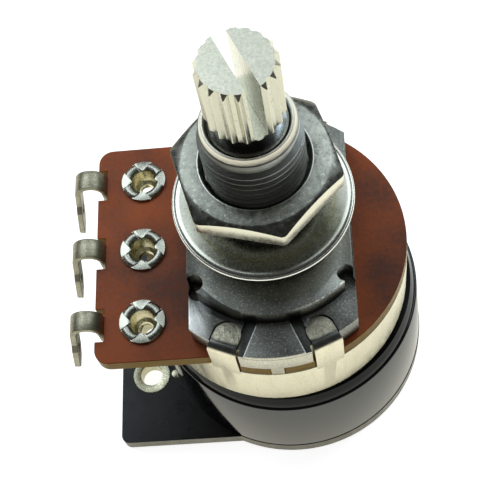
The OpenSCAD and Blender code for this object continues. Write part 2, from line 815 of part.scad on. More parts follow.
module slider() {
  color([0.85, 0.84, 0.8]) difference() {
    translate([-slider_half_x, -slider_half_y, slider_low_z]) cube([2 * slider_half_x, 2 * slider_half_y, slider_h]);
    translate([0, 0, slider_low_z - cut]) cylinder(r = tail_r + key_gap, h = slider_h + 2 * cut);
    for (s = [-1, 1]) {
      translate([-rail_half_w - slider_gap, s > 0 ? rail_in_y - slider_gap : -slider_half_y - cut, slider_low_z - cut])
        cube([2 * (rail_half_w + slider_gap), slider_half_y - rail_in_y + slider_gap + cut, slider_h + 2 * cut]);
      translate([0, s * spring_in_y, detent_z]) rotate([-90 * s, 0, 0]) cylinder(r = ball_bore_r, h = slider_half_y);
    }
  }
}

module detent_balls() {
  color([0.75, 0.75, 0.76]) for (s = [-1, 1]) translate([0, s * ball_y, detent_z]) sphere(r = ball_r, $fn = 32);
}

// Points of one ring of a round wire, at turn t along a coil whose axis is +Z
function wire_ring(r, wire, t, rise, sides) =
  [for (j = [0 : sides - 1])
    let (a = j * 360 / sides)
    [(r + wire / 2 * cos(a)) * cos(t), (r + wire / 2 * cos(a)) * sin(t), rise * t / 360 + wire / 2 * sin(a)]];

// A coil spring of the given length, standing on the plane z = 0
module coil_spring(length) {
  steps = 12;
  sides = 6;
  turns = max(2, floor(length / coil_pitch));
  rings = steps * turns;
  rise = (length - spring_wire) / turns;
  points = [for (i = [0 : rings]) each wire_ring(spring_r, spring_wire, i * 360 / steps, rise, sides)];
  walls = [for (i = [0 : rings - 1], j = [0 : sides - 1])
    let (k = (j + 1) % sides)
    [i * sides + j, i * sides + k, (i + 1) * sides + k, (i + 1) * sides + j]];
  start_cap = [[for (j = [sides - 1 : -1 : 0]) j]];
  end_cap = [[for (j = [0 : sides - 1]) rings * sides + j]];
  translate([0, 0, spring_wire / 2]) polyhedron(points = points, faces = concat(walls, start_cap, end_cap), convexity = 6);
}

module detent_springs() {
  ball_back_y = ball_y - sqrt(ball_r * ball_r - spring_r * spring_r) - spring_wire / 2;
  color([0.6, 0.6, 0.62]) for (s = [-1, 1])
    translate([0, s * (spring_in_y + spring_gap), detent_z]) rotate([-90 * s, 0, 0])
      coil_spring(ball_back_y - spring_in_y - 3 * spring_gap);
}

// Side view of one bowed arm of the moving contact, from the slider's face out to the fixed contacts
module bow_profile() {
  reach = fixed_x - bow_gap - slider_half_x - bow_t;
  half_h = slider_h / 2 - bow_inset;
  outer = [for (i = [-8 : 8]) let (t = i / 8) [-slider_half_x - bow_t - reach * (1 - t * t), detent_z + half_h * t]];
  inner = [for (i = [8 : -1 : -8])
    let (t = i / 8) [-slider_half_x - 0.98 * reach * (1 - t * t), detent_z + (half_h - bow_t) * t]];
  polygon(concat(outer, inner));
}

module bridge_contact() {
  arm_w = 1.2;
  base_h = slider_h - 2 * bow_inset;
  color([0.78, 0.62, 0.35]) {
    translate([-slider_half_x - bow_t, -contact_y - arm_w / 2, detent_z - base_h / 2])
      cube([bow_t, 2 * contact_y + arm_w, base_h]);
    for (s = [-1, 1]) translate([0, s * contact_y + arm_w / 2, 0])
      rotate([90, 0, 0]) linear_extrude(arm_w) bow_profile();
  }
}

// A fixed contact's strip at y, from z a to z b
module contact_strip(y, half_w, a, b) {
  translate([-fixed_x - contact_t, y - half_w, a]) cube([contact_t, 2 * half_w, b - a]);
}

module contact_pin(y) {
  translate([-fixed_x - contact_t, y - pin_w / 2, pcb_low_z]) cube([contact_t, pin_w, pcb_t + cut]);
}

module contact_common() {
  color([0.75, 0.74, 0.7]) {
    contact_strip(contact_y, contact_half_w, housing_low_z, contact_top_z);
    contact_pin(contact_y);
  }
}

module contact_lower() {
  color([0.75, 0.74, 0.7]) {
    contact_strip(-contact_y, contact_half_w, housing_low_z, detent_z + travel / 2 - contact_split);
    contact_pin(-contact_y);
  }
}

module contact_upper() {
  leg_half_w = 0.5;
  color([0.75, 0.74, 0.7]) {
    contact_strip(-contact_y, contact_half_w, detent_z + travel / 2 + contact_split, contact_top_z);
    contact_strip(-upper_leg_y, leg_half_w, housing_low_z, contact_top_z);
    translate([-fixed_x - contact_t, -upper_leg_y, contact_top_z - 0.8])
      cube([contact_t, upper_leg_y - contact_y, 0.8]);
    contact_pin(-upper_leg_y);
  }
}

// Plan of the circuit board: a disc flush with the housing, with a wide tab to -X
module pcb_outline() {
  corner = 0.8;
  half = pcb_w / 2;
  translate([switch_shift, 0]) circle(r = pcb_r);
  translate([-pcb_reach + corner, -half]) square([pcb_reach - corner, pcb_w]);
  translate([-pcb_reach, -half + corner]) square([pcb_reach, pcb_w - 2 * corner]);
  for (sy = [-1, 1]) translate([-pcb_reach + corner, sy * (half - corner)]) circle(r = corner);
}

module circuit_board() {
  color([0.05, 0.06, 0.06]) translate([0, 0, pcb_low_z]) difference() {
    linear_extrude(pcb_t) pcb_outline();
    for (k = [-1, 0, 1]) {
      translate([-pad_x, k * pad_pitch, -cut]) cylinder(r = pad_hole / 2 + plating_t, h = pcb_t + 2 * cut);
      translate([-via_x, k * pad_pitch, -cut]) cylinder(r = via_r, h = pcb_t + 2 * cut);
    }
    for (y = [contact_y, -contact_y, -upper_leg_y]) translate([-fixed_x - contact_t / 2, y, -cut])
      cylinder(r = pin_hole_r, h = pcb_t + 2 * cut);
    for (s = [-1, 1]) translate([peg_x, s * peg_y, -cut]) cylinder(r = peg_r, h = pcb_t + 2 * cut);
  }
}

// A plated hole: a barrel through the board with a ring on each face
module plated_hole(outer_r, hole_r) {
  difference() {
    union() {
      translate([0, 0, housing_low_z]) cylinder(r = outer_r, h = plating_t);
      translate([0, 0, pcb_low_z - plating_t]) cylinder(r = outer_r, h = plating_t);
      translate([0, 0, pcb_low_z - plating_t]) cylinder(r = hole_r + plating_t, h = pcb_t + 2 * plating_t);
    }
    translate([0, 0, pcb_low_z - 1]) cylinder(r = hole_r, h = pcb_t + 2);
  }
}

// The middle ring stops at the foot of the housing
module board_pads() {
  color([0.75, 0.74, 0.7]) {
    difference() {
      for (k = [-1, 0, 1]) translate([-pad_x, k * pad_pitch, 0]) plated_hole(pad_d / 2, pad_hole / 2);
      translate([switch_shift, 0, housing_low_z]) cylinder(r = housing_foot_r + foot_gap, h = 2 * plating_t);
    }
    for (k = [-1, 0, 1]) translate([-via_x, k * pad_pitch, pcb_low_z]) cylinder(r = via_r, h = pcb_t);
  }
}

module solder_joints() {
  color([0.75, 0.75, 0.76]) for (y = [contact_y, -contact_y, -upper_leg_y])
    translate([-fixed_x - contact_t / 2, y, pcb_low_z - joint_h]) cylinder(r1 = joint_tip_r, r2 = joint_top_r, h = joint_h);
}

front_plate();
hex_nut();
flat_washer();
lock_washer();
shaft();
upper_clip();
lower_clip();
rotor();
wiper();
wafer();
carbon_track();
collector_ring();
terminal_1();
terminal_2();
terminal_3();
eyelet_1();
eyelet_2();
eyelet_3();
can();
frame_rivets();
switch_cover();
switch_housing();
slider();
detent_balls();
detent_springs();
bridge_contact();
contact_common();
contact_lower();
contact_upper();
circuit_board();
board_pads();
solder_joints();
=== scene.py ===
import json
import math

import bpy
from bpy.props import FloatProperty, FloatVectorProperty, IntProperty, PointerProperty
from bpy.types import Operator, Panel, PropertyGroup
from mathutils import Matrix, Vector


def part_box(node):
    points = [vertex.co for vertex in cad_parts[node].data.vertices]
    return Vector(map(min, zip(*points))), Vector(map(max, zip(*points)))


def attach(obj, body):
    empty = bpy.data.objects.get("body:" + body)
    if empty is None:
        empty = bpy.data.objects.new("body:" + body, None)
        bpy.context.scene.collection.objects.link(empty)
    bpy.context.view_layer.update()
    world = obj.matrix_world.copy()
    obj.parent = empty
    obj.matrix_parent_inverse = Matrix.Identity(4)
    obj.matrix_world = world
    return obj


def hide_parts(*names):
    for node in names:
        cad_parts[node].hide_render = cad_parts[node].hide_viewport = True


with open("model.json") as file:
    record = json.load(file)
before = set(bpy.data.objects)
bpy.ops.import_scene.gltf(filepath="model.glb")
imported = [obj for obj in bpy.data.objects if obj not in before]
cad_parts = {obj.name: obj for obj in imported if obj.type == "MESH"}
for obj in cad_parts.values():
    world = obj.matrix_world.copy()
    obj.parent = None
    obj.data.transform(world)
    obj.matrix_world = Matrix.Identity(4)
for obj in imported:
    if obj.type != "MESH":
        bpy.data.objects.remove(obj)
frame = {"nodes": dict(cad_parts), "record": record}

bl_info = {
    "name": "Rotary potentiometer with switch",
    "version": (1, 0, 0),
    "blender": (4, 5, 0),
    "location": "3D View > Sidebar > Potentiometer",
    "description": "Models and finishes the pieces of a rotary potentiometer around its CAD frame",
    "category": "Object",
}

MM = 0.001


# The frame's sizes, in millimetres


def low(node, axis):
    """Lowest coordinate of a CAD node along an axis (0, 1 or 2)."""
    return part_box(node)[0][axis] / MM


def high(node, axis):
    """Highest coordinate of a CAD node along an axis (0, 1 or 2)."""
    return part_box(node)[1][axis] / MM


bushing_top = high("front_plate", 2)
plate_half_w = high("front_plate", 0)
wafer_z = high("wafer", 2)
wafer_low_z = low("wafer", 2)
wafer_r = high("wafer", 0)
wafer_reach = -low("wafer", 0)
can_r = high("can", 0)
can_low_z = low("can", 2)
lug_top_z = high("can", 2)
can_t = 0.5
can_in_r = can_r - can_t
seat_depth = 0.6
disc_h = 2
plate_z = lug_top_z + 0.1
disc_z = plate_z + disc_h
cover_r = high("switch_cover", 1)
cover_low_z = low("switch_cover", 2)
switch_x = (low("switch_cover", 0) + high("switch_cover", 0)) / 2
housing_r = cover_r + 0.2
housing_foot_r = high("switch_housing", 1)
board_top_z = high("circuit_board", 2)
board_low_z = low("circuit_board", 2)
board_r = high("circuit_board", 1)
board_half_w = board_r - 1.25
board_reach = -low("circuit_board", 0)
pad_x = board_reach - 3
pad_pitch = 4.72
via_x = pad_x - 2.5
via_r = 0.45
washer_r = high("flat_washer", 0)
washer_low_z = low("flat_washer", 2)
washer_top_z = high("flat_washer", 2)
nut_low_z = low("hex_nut", 2)
nut_top_z = high("hex_nut", 2)
shaft_r = high("shaft", 0)
shaft_tip_z = high("shaft", 2)
shaft_end_z = low("shaft", 2)
eyelet_x = (low("eyelet_2", 0) + high("eyelet_2", 0)) / 2
eyelet_r = (high("eyelet_2", 0) - low("eyelet_2", 0)) / 2
eyelet_low_z = low("eyelet_2", 2)
terminal_pitch = (high("terminal_1", 1) + low("terminal_1", 1)) / 2
lug_tip_r = can_in_r - 2.2
lug_side_angle = 22.3
lug_leans = (0.06, -0.08, -0.05, 0.07)
rivet_r = 0.8
rivet_head_r = 1.3
rivet_place = (high("frame_rivets", 0) + high("frame_rivets", 1)) / 2 - rivet_head_r
# How far a cutting tool stands past a face, and how deep joined solids overlap
past = 0.1


def from_srgb(*levels):
    """Linear colour from 8-bit sRGB levels."""
    parts = [level / 255 for level in levels]
    return tuple(p / 12.92 if p <= 0.04045 else ((p + 0.055) / 1.055) ** 2.4 for p in parts)


def length_setting(name, description, default_mm, smallest_mm, largest_mm):
    """A length in metres whose default is given in millimetres."""
    return FloatProperty(name=name, description=description, default=default_mm * MM, min=smallest_mm * MM,
                         max=largest_mm * MM, unit="LENGTH", subtype="DISTANCE", precision=5)


def angle_setting(name, description, default_degrees):
    """An angle in radians whose default is given in degrees."""
    return FloatProperty(name=name, description=description, default=math.radians(default_degrees),
                         min=-math.pi, max=math.pi, unit="ROTATION", subtype="ANGLE")


def colour_setting(name, description, *levels):
    """A linear colour whose default is given as 8-bit sRGB levels."""
    return FloatVectorProperty(name=name, description=description, default=from_srgb(*levels),
                               size=3, min=0, max=1, subtype="COLOR")


class POT_PG_sizes(PropertyGroup):
    """Sizes that the frame's boxes don't give."""

    thread_r: length_setting("Thread radius", "Crest radius of the bushing's thread", 4.0, 3.5, 4.5)
    thread_pitch: length_setting("Thread pitch", "Rise of the thread in one turn", 0.75, 0.4, 1.25)
    thread_depth: length_setting("Thread depth", "Crest to root of the thread", 0.4, 0.2, 0.6)
    boss_r: length_setting("Boss radius", "Radius of the round boss under the washers", 6.2, 5.5, 6.5)
    disc_r: length_setting("Disc radius", "Radius of the raised disc of the casting", 8.8, 8, 9.2)
    nut_flats: length_setting("Nut width", "Width of the nut across its flats", 12, 10.5, 13)
    nut_turn: angle_setting("Nut turn", "Turn of the nut about the shaft", -14)
    knurl_len: length_setting("Knurl length", "Length of the toothed end of the shaft", 6.2, 4, 6.6)
    knurl_depth: length_setting("Knurl depth", "Depth of the grooves between the teeth", 0.42, 0.2, 0.6)
    knurl_teeth: IntProperty(name="Knurl teeth", description="Number of teeth around the shaft",
                             default=18, min=12, max=30)
    slot_w: length_setting("Slot width", "Width of the sawn slot", 1.08, 0.8, 1.6)
    slot_len: length_setting("Slot depth", "Depth of the sawn slot from the tip", 6.1, 4, 8)
    slot_turn: angle_setting("Slot turn", "Turn of the slot about the shaft", 115)
    lug_w: length_setting("Lug width", "Width of a crimp lug", 2.4, 1.8, 2.6)
    eyelet_bore_r: length_setting("Eyelet bore", "Inner radius of an eyelet", 1.0, 0.8, 1.1)
    pad_r: length_setting("Pad radius", "Radius of a wire pad's ring", 1.9, 1.5, 2)
    pad_hole_r: length_setting("Pad hole", "Radius of a wire pad's hole", 1.1, 0.5, 1.3)
    edge: length_setting("Broken edge", "Width of the bevel on cut and cast edges", 0.07, 0.02, 0.2)


class POT_PG_colours(PropertyGroup):
    """Colours of the finishes."""

    casting: colour_setting("Casting", "Zinc die casting and bushing", 160, 161, 152)
    nut: colour_setting("Nut", "Dull nickel on the nut", 158, 159, 148)
    washer: colour_setting("Washer", "Bright zinc on the washers", 206, 206, 192)
    shaft: colour_setting("Shaft", "Nickel on the shaft", 212, 210, 192)
    can: colour_setting("Can", "Tinned steel of the can and its lugs", 233, 227, 201)
    phenolic: colour_setting("Board face", "Lacquered face of the terminal board", 160, 79, 38)
    phenolic_dark: colour_setting("Board face, dark", "Darker clouds in the lacquer", 101, 58, 40)
    phenolic_cut: colour_setting("Board edge", "Punched edge of the terminal board", 216, 166, 62)
    terminal: colour_setting("Terminals", "Tinned brass of the terminals", 158, 154, 132)
    eyelet: colour_setting("Eyelets", "Tinned brass of the eyelets", 186, 186, 172)
    brass: colour_setting("Bare brass", "Brass that shows inside the eyelets", 212, 205, 172)
    moulding: colour_setting("Moulding", "Black moulded plastic of the switch", 14, 14, 15)
    mask: colour_setting("Circuit board", "Black lacquer on the circuit board", 17, 18, 18)
    laminate: colour_setting("Laminate", "Cut edge of the circuit board", 138, 128, 92)
    tin: colour_setting("Tin", "Tinned pads and solder", 178, 176, 150)


def setting(name):
    """A setting as it is stored: an angle in radians or a count."""
    return getattr(bpy.context.scene.pot_sizes, name)


def size(name):
    """A length setting in millimetres."""
    return setting(name) / MM


def colour(name):
    """A colour setting with full alpha."""
    return (*getattr(bpy.context.scene.pot_colours, name), 1)


# Modelling by operators, in millimetres until a piece is finished


def deselect():
    """Leaves object mode with nothing selected."""
    if bpy.context.mode != "OBJECT":
        bpy.ops.object.mode_set(mode="OBJECT")
    bpy.ops.object.select_all(action="DESELECT")


def activate(piece):
    """Makes piece the only selected and active object."""
    deselect()
    piece.select_set(True)
    bpy.context.view_layer.objects.active = piece


def arc(cx, cy, r, start, stop, steps):
    """Points along an arc, with its angles in degrees."""
    turns = [math.radians(start + (stop - start) * i / steps) for i in range(steps + 1)]
    return [(cx + r * math.cos(t), cy + r * math.sin(t)) for t in turns]


def draw_loop(name, points):
    """A closed line through points, drawn by extruding one vertex, left selected in edit mode."""
    deselect()
    bpy.ops.mesh.primitive_plane_add(size=1, location=(0, 0, 0))
    piece = bpy.context.object
    piece.name = name
    piece.data.name = name
    bpy.ops.object.mode_set(mode="EDIT")
    bpy.ops.mesh.select_all(action="SELECT")
    bpy.ops.mesh.merge(type="CENTER")
    bpy.ops.transform.translate(value=points[0])
    for here, there in zip(points, points[1:] + points[:1]):
        step = Vector(there) - Vector(here)
        bpy.ops.mesh.extrude_region_move(TRANSFORM_OT_translate={"value": step})
    bpy.ops.mesh.select_all(action="SELECT")
    bpy.ops.mesh.remove_doubles(threshold=0.0005)
    return piece


def close_shape():
    """Merges what lies together, turns all faces outwards and leaves edit mode."""
    bpy.ops.mesh.select_all(action="SELECT")
    bpy.ops.mesh.remove_doubles(threshold=0.0005)
    bpy.ops.mesh.normals_make_consistent(inside=False)
    bpy.ops.object.mode_set(mode="OBJECT")


def turned(name, profile, steps=128, at=(0, 0)):
    """A solid of revolution about +Z: profile is a closed outline of (radius, height)."""
    piece = draw_loop(name, [(at[0] + r, at[1], z) for r, z in profile])
    bpy.ops.mesh.select_all(action="SELECT")
    bpy.ops.mesh.spin(steps=steps, angle=2 * math.pi, center=(at[0], at[1], 0), axis=(0, 0, 1))
    close_shape()
    return piece


def extruded(name, outline, along):
    """A prism: outline is a closed flat loop of points and along the way it is extruded."""
    piece = draw_loop(name, outline)
    bpy.ops.mesh.edge_face_add()
    bpy.ops.mesh.select_all(action="SELECT")
    bpy.ops.mesh.extrude_region_move(TRANSFORM_OT_translate={"value": along})
    close_shape()
    return piece


def slab(name, outline, bottom, top):
    """A plate with the plan outline of (x, y), between two heights."""
    return extruded(name, [(x, y, bottom) for x, y in outline], (0, 0, top - bottom))


def strip(name, profile, middle_y, width):
    """A strip with the side view profile of (x, z), of the given width along Y."""
    return extruded(name, [(x, middle_y - width / 2, z) for x, z in profile], (0, width, 0))


def rod(name, r, bottom, top, at=(0, 0), steps=64, tip_r=None):
    """A round rod or cone between two heights."""
    return turned(name, [(0, bottom), (r, bottom), (r if tip_r is None else tip_r, top), (0, top)], steps, at)


def drill(r, bottom, top, at=(0, 0), steps=64):
    """A round tool for a hole through a plate between two heights."""
    return rod("drill", r, bottom - past, top + past, at, steps)


def block(name, near, far):
    """A box between two corners."""
    (x0, y0, z0), (x1, y1, z1) = near, far
    return slab(name, [(x0, y0), (x1, y0), (x1, y1), (x0, y1)], z0, z1)


def turn_about_shaft(piece, degrees):
    """Turns a piece about +Z, anticlockwise seen from above."""
    activate(piece)
    piece.rotation_euler = (0, 0, math.radians(degrees))
    bpy.ops.object.transform_apply(location=False, rotation=True, scale=False)
    return piece


def slabs_at(turns, name, outline, bottom, top):
    """Plates with the same plan, one at each turn about +Z."""
    return [turn_about_shaft(slab(name, outline, bottom, top), turn) for turn in turns]


def twin(piece, name, shift=(0, 0, 0), degrees=0):
    """A copy with its own mesh, turned about +Z and then shifted."""
    activate(piece)
    bpy.ops.object.duplicate()
    copy = bpy.context.object
    copy.name = name
    copy.data.name = name
    copy.rotation_euler = (0, 0, math.radians(degrees))
    copy.location = shift
    bpy.ops.object.transform_apply(location=True, rotation=True, scale=False)
    return copy


def combine(piece, tools, how):
    """Joins, cuts or intersects piece with each tool by an exact Boolean, and removes the tools."""
    for tool in tools:
        activate(piece)
        change = piece.modifiers.new(how.lower(), "BOOLEAN")
        change.operation = how
        change.solver = "EXACT"
        change.object = tool
        bpy.ops.object.modifier_apply(modifier=change.name)
        spent = tool.data
        bpy.data.objects.remove(tool)
        bpy.data.meshes.remove(spent)
    return piece


def join(piece, *tools):
    """Unites piece with the tools."""
    return combine(piece, tools, "UNION")


def cut(piece, *tools):
    """Cuts the tools out of piece."""
    return combine(piece, tools, "DIFFERENCE")


def keep_common(piece, *tools):
    """Keeps what piece shares with the tools."""
    return combine(piece, tools, "INTERSECT")


def break_edges(piece, width, angle=35, segments=2):
    """Bevels the edges that are sharper than angle, in degrees."""
    activate(piece)
    change = piece.modifiers.new("broken edges", "BEVEL")
    change.width = width
    change.segments = segments
    change.limit_method = "ANGLE"
    change.angle_limit = math.radians(angle)
    bpy.ops.object.modifier_apply(modifier=change.name)
    return piece


def finish_piece(piece, body, slot, finish, *nodes, smooth=32):
    """Brings a piece to metres, shades and dresses it, and hands it to the frame."""
    activate(piece)
    piece.scale = (MM, MM, MM)
    bpy.ops.object.transform_apply(location=True, rotation=True, scale=True)
    bpy.ops.object.shade_smooth_by_angle(angle=math.radians(smooth))
    piece.data.materials.clear()
    piece.data.materials.append(finish)
    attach(piece, body)
    if nodes:
        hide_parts(*nodes)
    return piece


def copied_solid(node, name):
    """A copy of a CAD node's mesh in millimetres, with its loose triangles merged into flat faces."""
    deselect()
    source = frame["nodes"][node]
    piece = bpy.data.objects.new(name, source.data.copy())
    piece.data.name = name
    bpy.context.scene.collection.objects.link(piece)
    activate(piece)
    piece.scale = (1 / MM, 1 / MM, 1 / MM)
    bpy.ops.object.transform_apply(location=True, rotation=True, scale=True)
    bpy.ops.object.mode_set(mode="EDIT")
    bpy.ops.mesh.select_all(action="SELECT")
    bpy.ops.mesh.remove_doubles(threshold=0.0005)
    bpy.ops.mesh.dissolve_limited(angle_limit=math.radians(1))
    close_shape()
    return piece


# The pieces


def clipped_disc(r, half_w, steps):
    """Outline of a disc with its two sides cut off flat at x = -half_w and x = half_w."""
    corner = math.degrees(math.acos(half_w / r))
    return arc(0, 0, r, corner, 180 - corner, steps) + arc(0, 0, r, 180 + corner, 360 - corner, steps)


def plate_outline():
    """Plan of the casting's plate: a clipped disc whose front and back run out into a tongue."""
    seat_r = can_in_r - 0.05
    tongue = 15
    corner = math.degrees(math.acos(plate_half_w / seat_r))
    points = []
    for middle in (90, 270):
        points += arc(0, 0, seat_r, middle - 90 + corner, middle - tongue, 16)
        points += arc(0, 0, can_r, middle - tongue, middle + tongue, 14)
        points += arc(0, 0, seat_r, middle + tongue, middle + 90 - corner, 16)
    return points


def lug_angles():
    """The angles of the four crimp lugs about the shaft."""
    return [side + lean for side in (-90, 90) for lean in (-lug_side_angle, lug_side_angle)]


def lug_seats():
    """The recesses that the rounded tips of the crimp lugs are pressed into."""
    half, gap = size("lug_w") / 2, 0.02
    outline = arc(lug_tip_r + half, 0, half + gap, 90, 270, 18)
    outline += [(can_r + 1, -half - gap), (can_r + 1, half + gap)]
    return slabs_at(lug_angles(), "seat", outline, plate_z - seat_depth, plate_z + past)


def channel_beside_tongue(end, side):
    """The shallow channel beside the tongue, at end -1 (front) or 1 (back), side -1 (left) or 1 (right)."""
    depth = 0.28
    outline = [(1.3, 8.6), (2.72, can_r + 0.1), (3.5, can_r), (2.95, 10.0), (2.6, 9.2), (2.3, 8.4)]
    return slab("channel", [(side * x, end * y) for x, y in outline], plate_z - depth, plate_z + past)


def model_casting():
    """The zinc casting: bushing, boss, disc, plate, tongues, keys, lug seats and corner pockets."""
    bore_r = shaft_r + 0.04
    root_r = size("thread_r") - size("thread_depth")
    boss_r = size("boss_r")
    body = turned("casting", [
        (bore_r, wafer_z), (boss_r, wafer_z), (boss_r, -0.2), (boss_r - 0.2, 0), (root_r, 0),
        (root_r, bushing_top - 1.15), (root_r + 0.12, bushing_top - 1.0), (root_r + 0.12, bushing_top - 0.58),
        (root_r, bushing_top - 0.46), (root_r - 0.16, bushing_top - 0.03), (root_r - 0.2, bushing_top),
        (bore_r + 0.24, bushing_top), (bore_r + 0.18, bushing_top - 0.1), (bore_r, bushing_top - 0.5)], 128)
    plate = slab("plate", plate_outline(), wafer_z, plate_z)
    disc = slab("disc", clipped_disc(size("disc_r"), plate_half_w - 0.15, 40), plate_z - past, disc_z)
    key_half_w, key_t, key_r = 0.55, 0.5, can_r * 0.996
    front_key = block("key", (-key_half_w, -key_r, wafer_low_z), (key_half_w, key_t - key_r, wafer_z + past))
    back_key = block("key", (-key_half_w, key_r - key_t, wafer_low_z), (key_half_w, key_r, wafer_z + past))
    cut(plate, *[channel_beside_tongue(end, side) for end in (-1, 1) for side in (-1, 1)])
    cut(plate, *lug_seats())
    join(plate, disc, front_key, back_key)
    cut(plate, rod("bore", boss_r - past, wafer_z - 1, disc_z + 1))
    pocket_r, pocket_depth = 0.75, 0.6
    pocket_x = plate_half_w - pocket_r
    pocket_y = math.sqrt(size("disc_r") ** 2 - pocket_x ** 2) - 0.6
    corners = [(side * pocket_x, end * pocket_y) for side in (-1, 1) for end in (-1, 1)]
    cut(plate, *[rod("pocket", pocket_r, plate_z - pocket_depth, disc_z + past, at, 32) for at in corners])
    break_edges(plate, size("edge"), 40)
    join(body, plate)
    return join(body, thread_ridge(root_r))


def thread_ridge(root_r):
    """One helical ridge: a closed tooth outline carried up the bushing by a Screw modifier."""
    pitch, crest_r = size("thread_pitch"), size("thread_r") - 0.01
    first_z, last_z = 0.45, bushing_top - 1.05
    turns = int((last_z - first_z) / pitch)
    half = pitch * 0.47
    ridge = draw_loop("thread", [(root_r - 0.08, 0, first_z - half), (crest_r, 0, first_z - 0.05),
                                 (crest_r, 0, first_z + 0.05), (root_r - 0.08, 0, first_z + half)])
    bpy.ops.object.mode_set(mode="OBJECT")
    coil = ridge.modifiers.new("coil", "SCREW")
    coil.axis = "Z"
    coil.angle = 2 * math.pi
    coil.screw_offset = pitch
    coil.iterations = turns
    coil.steps = 72
    coil.render_steps = 72
    coil.use_normal_calculate = True
    bpy.ops.object.modifier_apply(modifier=coil.name)
    bpy.ops.object.mode_set(mode="EDIT")
    bpy.ops.mesh.select_all(action="DESELECT")
    bpy.ops.mesh.select_mode(type="VERT")
    bpy.ops.mesh.select_non_manifold()
    bpy.ops.mesh.fill_holes(sides=0)
    close_shape()
    return ridge


def model_nut():
    """The hexagon nut, with its corners turned off on top and its hole countersunk."""
    flat_r = size("nut_flats") / 2
    cos30, tan30 = math.cos(math.radians(30)), math.tan(math.radians(30))
    corner_r = flat_r / cos30
    hole_r = size("thread_r") + 0.05
    ring_r = flat_r - 0.25
    turn = math.degrees(setting("nut_turn"))
    worn_r = 0.6
    outline = []
    for side in range(6):
        angle = turn + side * 60
        cx, cy = arc(0, 0, corner_r - worn_r / cos30, angle, angle, 1)[0]
        outline += arc(cx, cy, worn_r, angle - 30, angle + 30, 5)
    hexagon = slab("hex_nut", outline, nut_low_z, nut_top_z)
    drop = (corner_r + 0.1 - ring_r) * tan30
    envelope = turned("envelope", [
        (0, nut_low_z), (corner_r + 0.1, nut_low_z), (corner_r + 0.1, nut_top_z - drop),
        (ring_r + 0.06, nut_top_z - 0.035), (ring_r - 0.06, nut_top_z), (0, nut_top_z)], 144)
    nut = keep_common(hexagon, envelope)
    break_edges(nut, size("edge"), 25)
    sink = 0.4
    return cut(nut, turned("hole", [
        (0, nut_low_z - 0.1), (hole_r + sink + 0.1, nut_low_z - 0.1), (hole_r, nut_low_z + sink),
        (hole_r, nut_top_z - sink), (hole_r + sink * 0.75, nut_top_z - 0.1),
        (hole_r + sink + 0.03, nut_top_z + 0.05), (0, nut_top_z + 0.05)], 128))


def model_washer():
    """The flat washer, punched from sheet: a rolled rim with a fine groove inside it."""
    hole_r, top, bottom, r = size("thread_r") + 0.15, washer_top_z, washer_low_z, washer_r
    return turned("flat_washer", [
        (hole_r, bottom), (r - 0.15, bottom), (r, bottom + 0.14), (r, bottom + 0.22), (r - 0.06, top - 0.15),
        (r - 0.18, top - 0.11), (r - 0.24, top - 0.11), (r - 0.3, top - 0.05), (r - 0.42, top),
        (r - 0.7, top - 0.01), (r - 1.0, top - 0.03), (hole_r + 1.1, top - 0.04), (hole_r + 0.15, top - 0.04),
        (hole_r, top - 0.19)], 160)


def knurl_outline():
    """Plan of the toothed end: sharp crests with V grooves between them."""
    teeth = setting("knurl_teeth")
    depth = size("knurl_depth")
    pitch = 360 / teeth
    shape = ((0, depth), (0.19, depth * 0.9), (0.45, 0.03), (0.5, 0), (0.55, 0.03), (0.81, depth * 0.9))
    points = []
    for i in range(teeth):
        for share, inset in shape:
            turn = math.radians(2 + (i + share) * pitch)
            points.append(((shaft_r - inset) * math.cos(turn), (shaft_r - inset) * math.sin(turn)))
    return points


def model_shaft():
    """The shaft: toothed and slotted tip, neck, round body, flats for the rotor and a grooved tail."""
    depth = size("knurl_depth")
    foot_z = shaft_tip_z - size("knurl_len")
    neck_z = foot_z - 1.2
    neck_r = shaft_r - depth - 0.1
    head = slab("shaft", knurl_outline(), foot_z, shaft_tip_z)
    keep_common(head, turned("tip", [
        (0, foot_z - 0.1), (shaft_r - depth, foot_z - 0.1), (shaft_r + 0.01, foot_z + 0.42),
        (shaft_r + 0.01, shaft_tip_z - 0.42), (shaft_r - 0.33, shaft_tip_z + 0.01),
        (0, shaft_tip_z + 0.01)], 96))
    flats_top, flats_low = wafer_z + 0.1, can_low_z + can_t + 0.3
    slider_top, slider_low = low("upper_clip", 2), high("lower_clip", 2)
    tail_r, groove_r, clip_t = 1.5, 1.1, 0.5
    body = turned("body", [
        (0, shaft_end_z), (tail_r - 0.15, shaft_end_z), (tail_r, shaft_end_z + 0.15),
        (tail_r, slider_low - clip_t), (groove_r, slider_low - clip_t), (groove_r, slider_low),
        (tail_r, slider_low), (tail_r, slider_top), (groove_r, slider_top),
        (groove_r, slider_top + clip_t), (tail_r, slider_top + clip_t),
        (tail_r, flats_low), (shaft_r, flats_low), (shaft_r, neck_z - 0.15), (shaft_r - 0.15, neck_z),
        (neck_r, neck_z), (neck_r, foot_z + 0.2), (0, foot_z + 0.2)], 96)
    key_half_w, sliver = 2.2, 0.001
    sides = ((-shaft_r - 1, -key_half_w), (key_half_w, shaft_r + 1))
    cut(body, *[block("flat", (-shaft_r - 1, inner, flats_low - sliver), (shaft_r + 1, outer, flats_top))
                for inner, outer in sides])
    shaft = join(head, body)
    half, bottom = size("slot_w") / 2, shaft_tip_z - size("slot_len")
    slot = block("slot", (-shaft_r - 1, -half, bottom), (shaft_r + 1, half, shaft_tip_z + 1))
    return cut(shaft, turn_about_shaft(slot, math.degrees(setting("slot_turn"))))


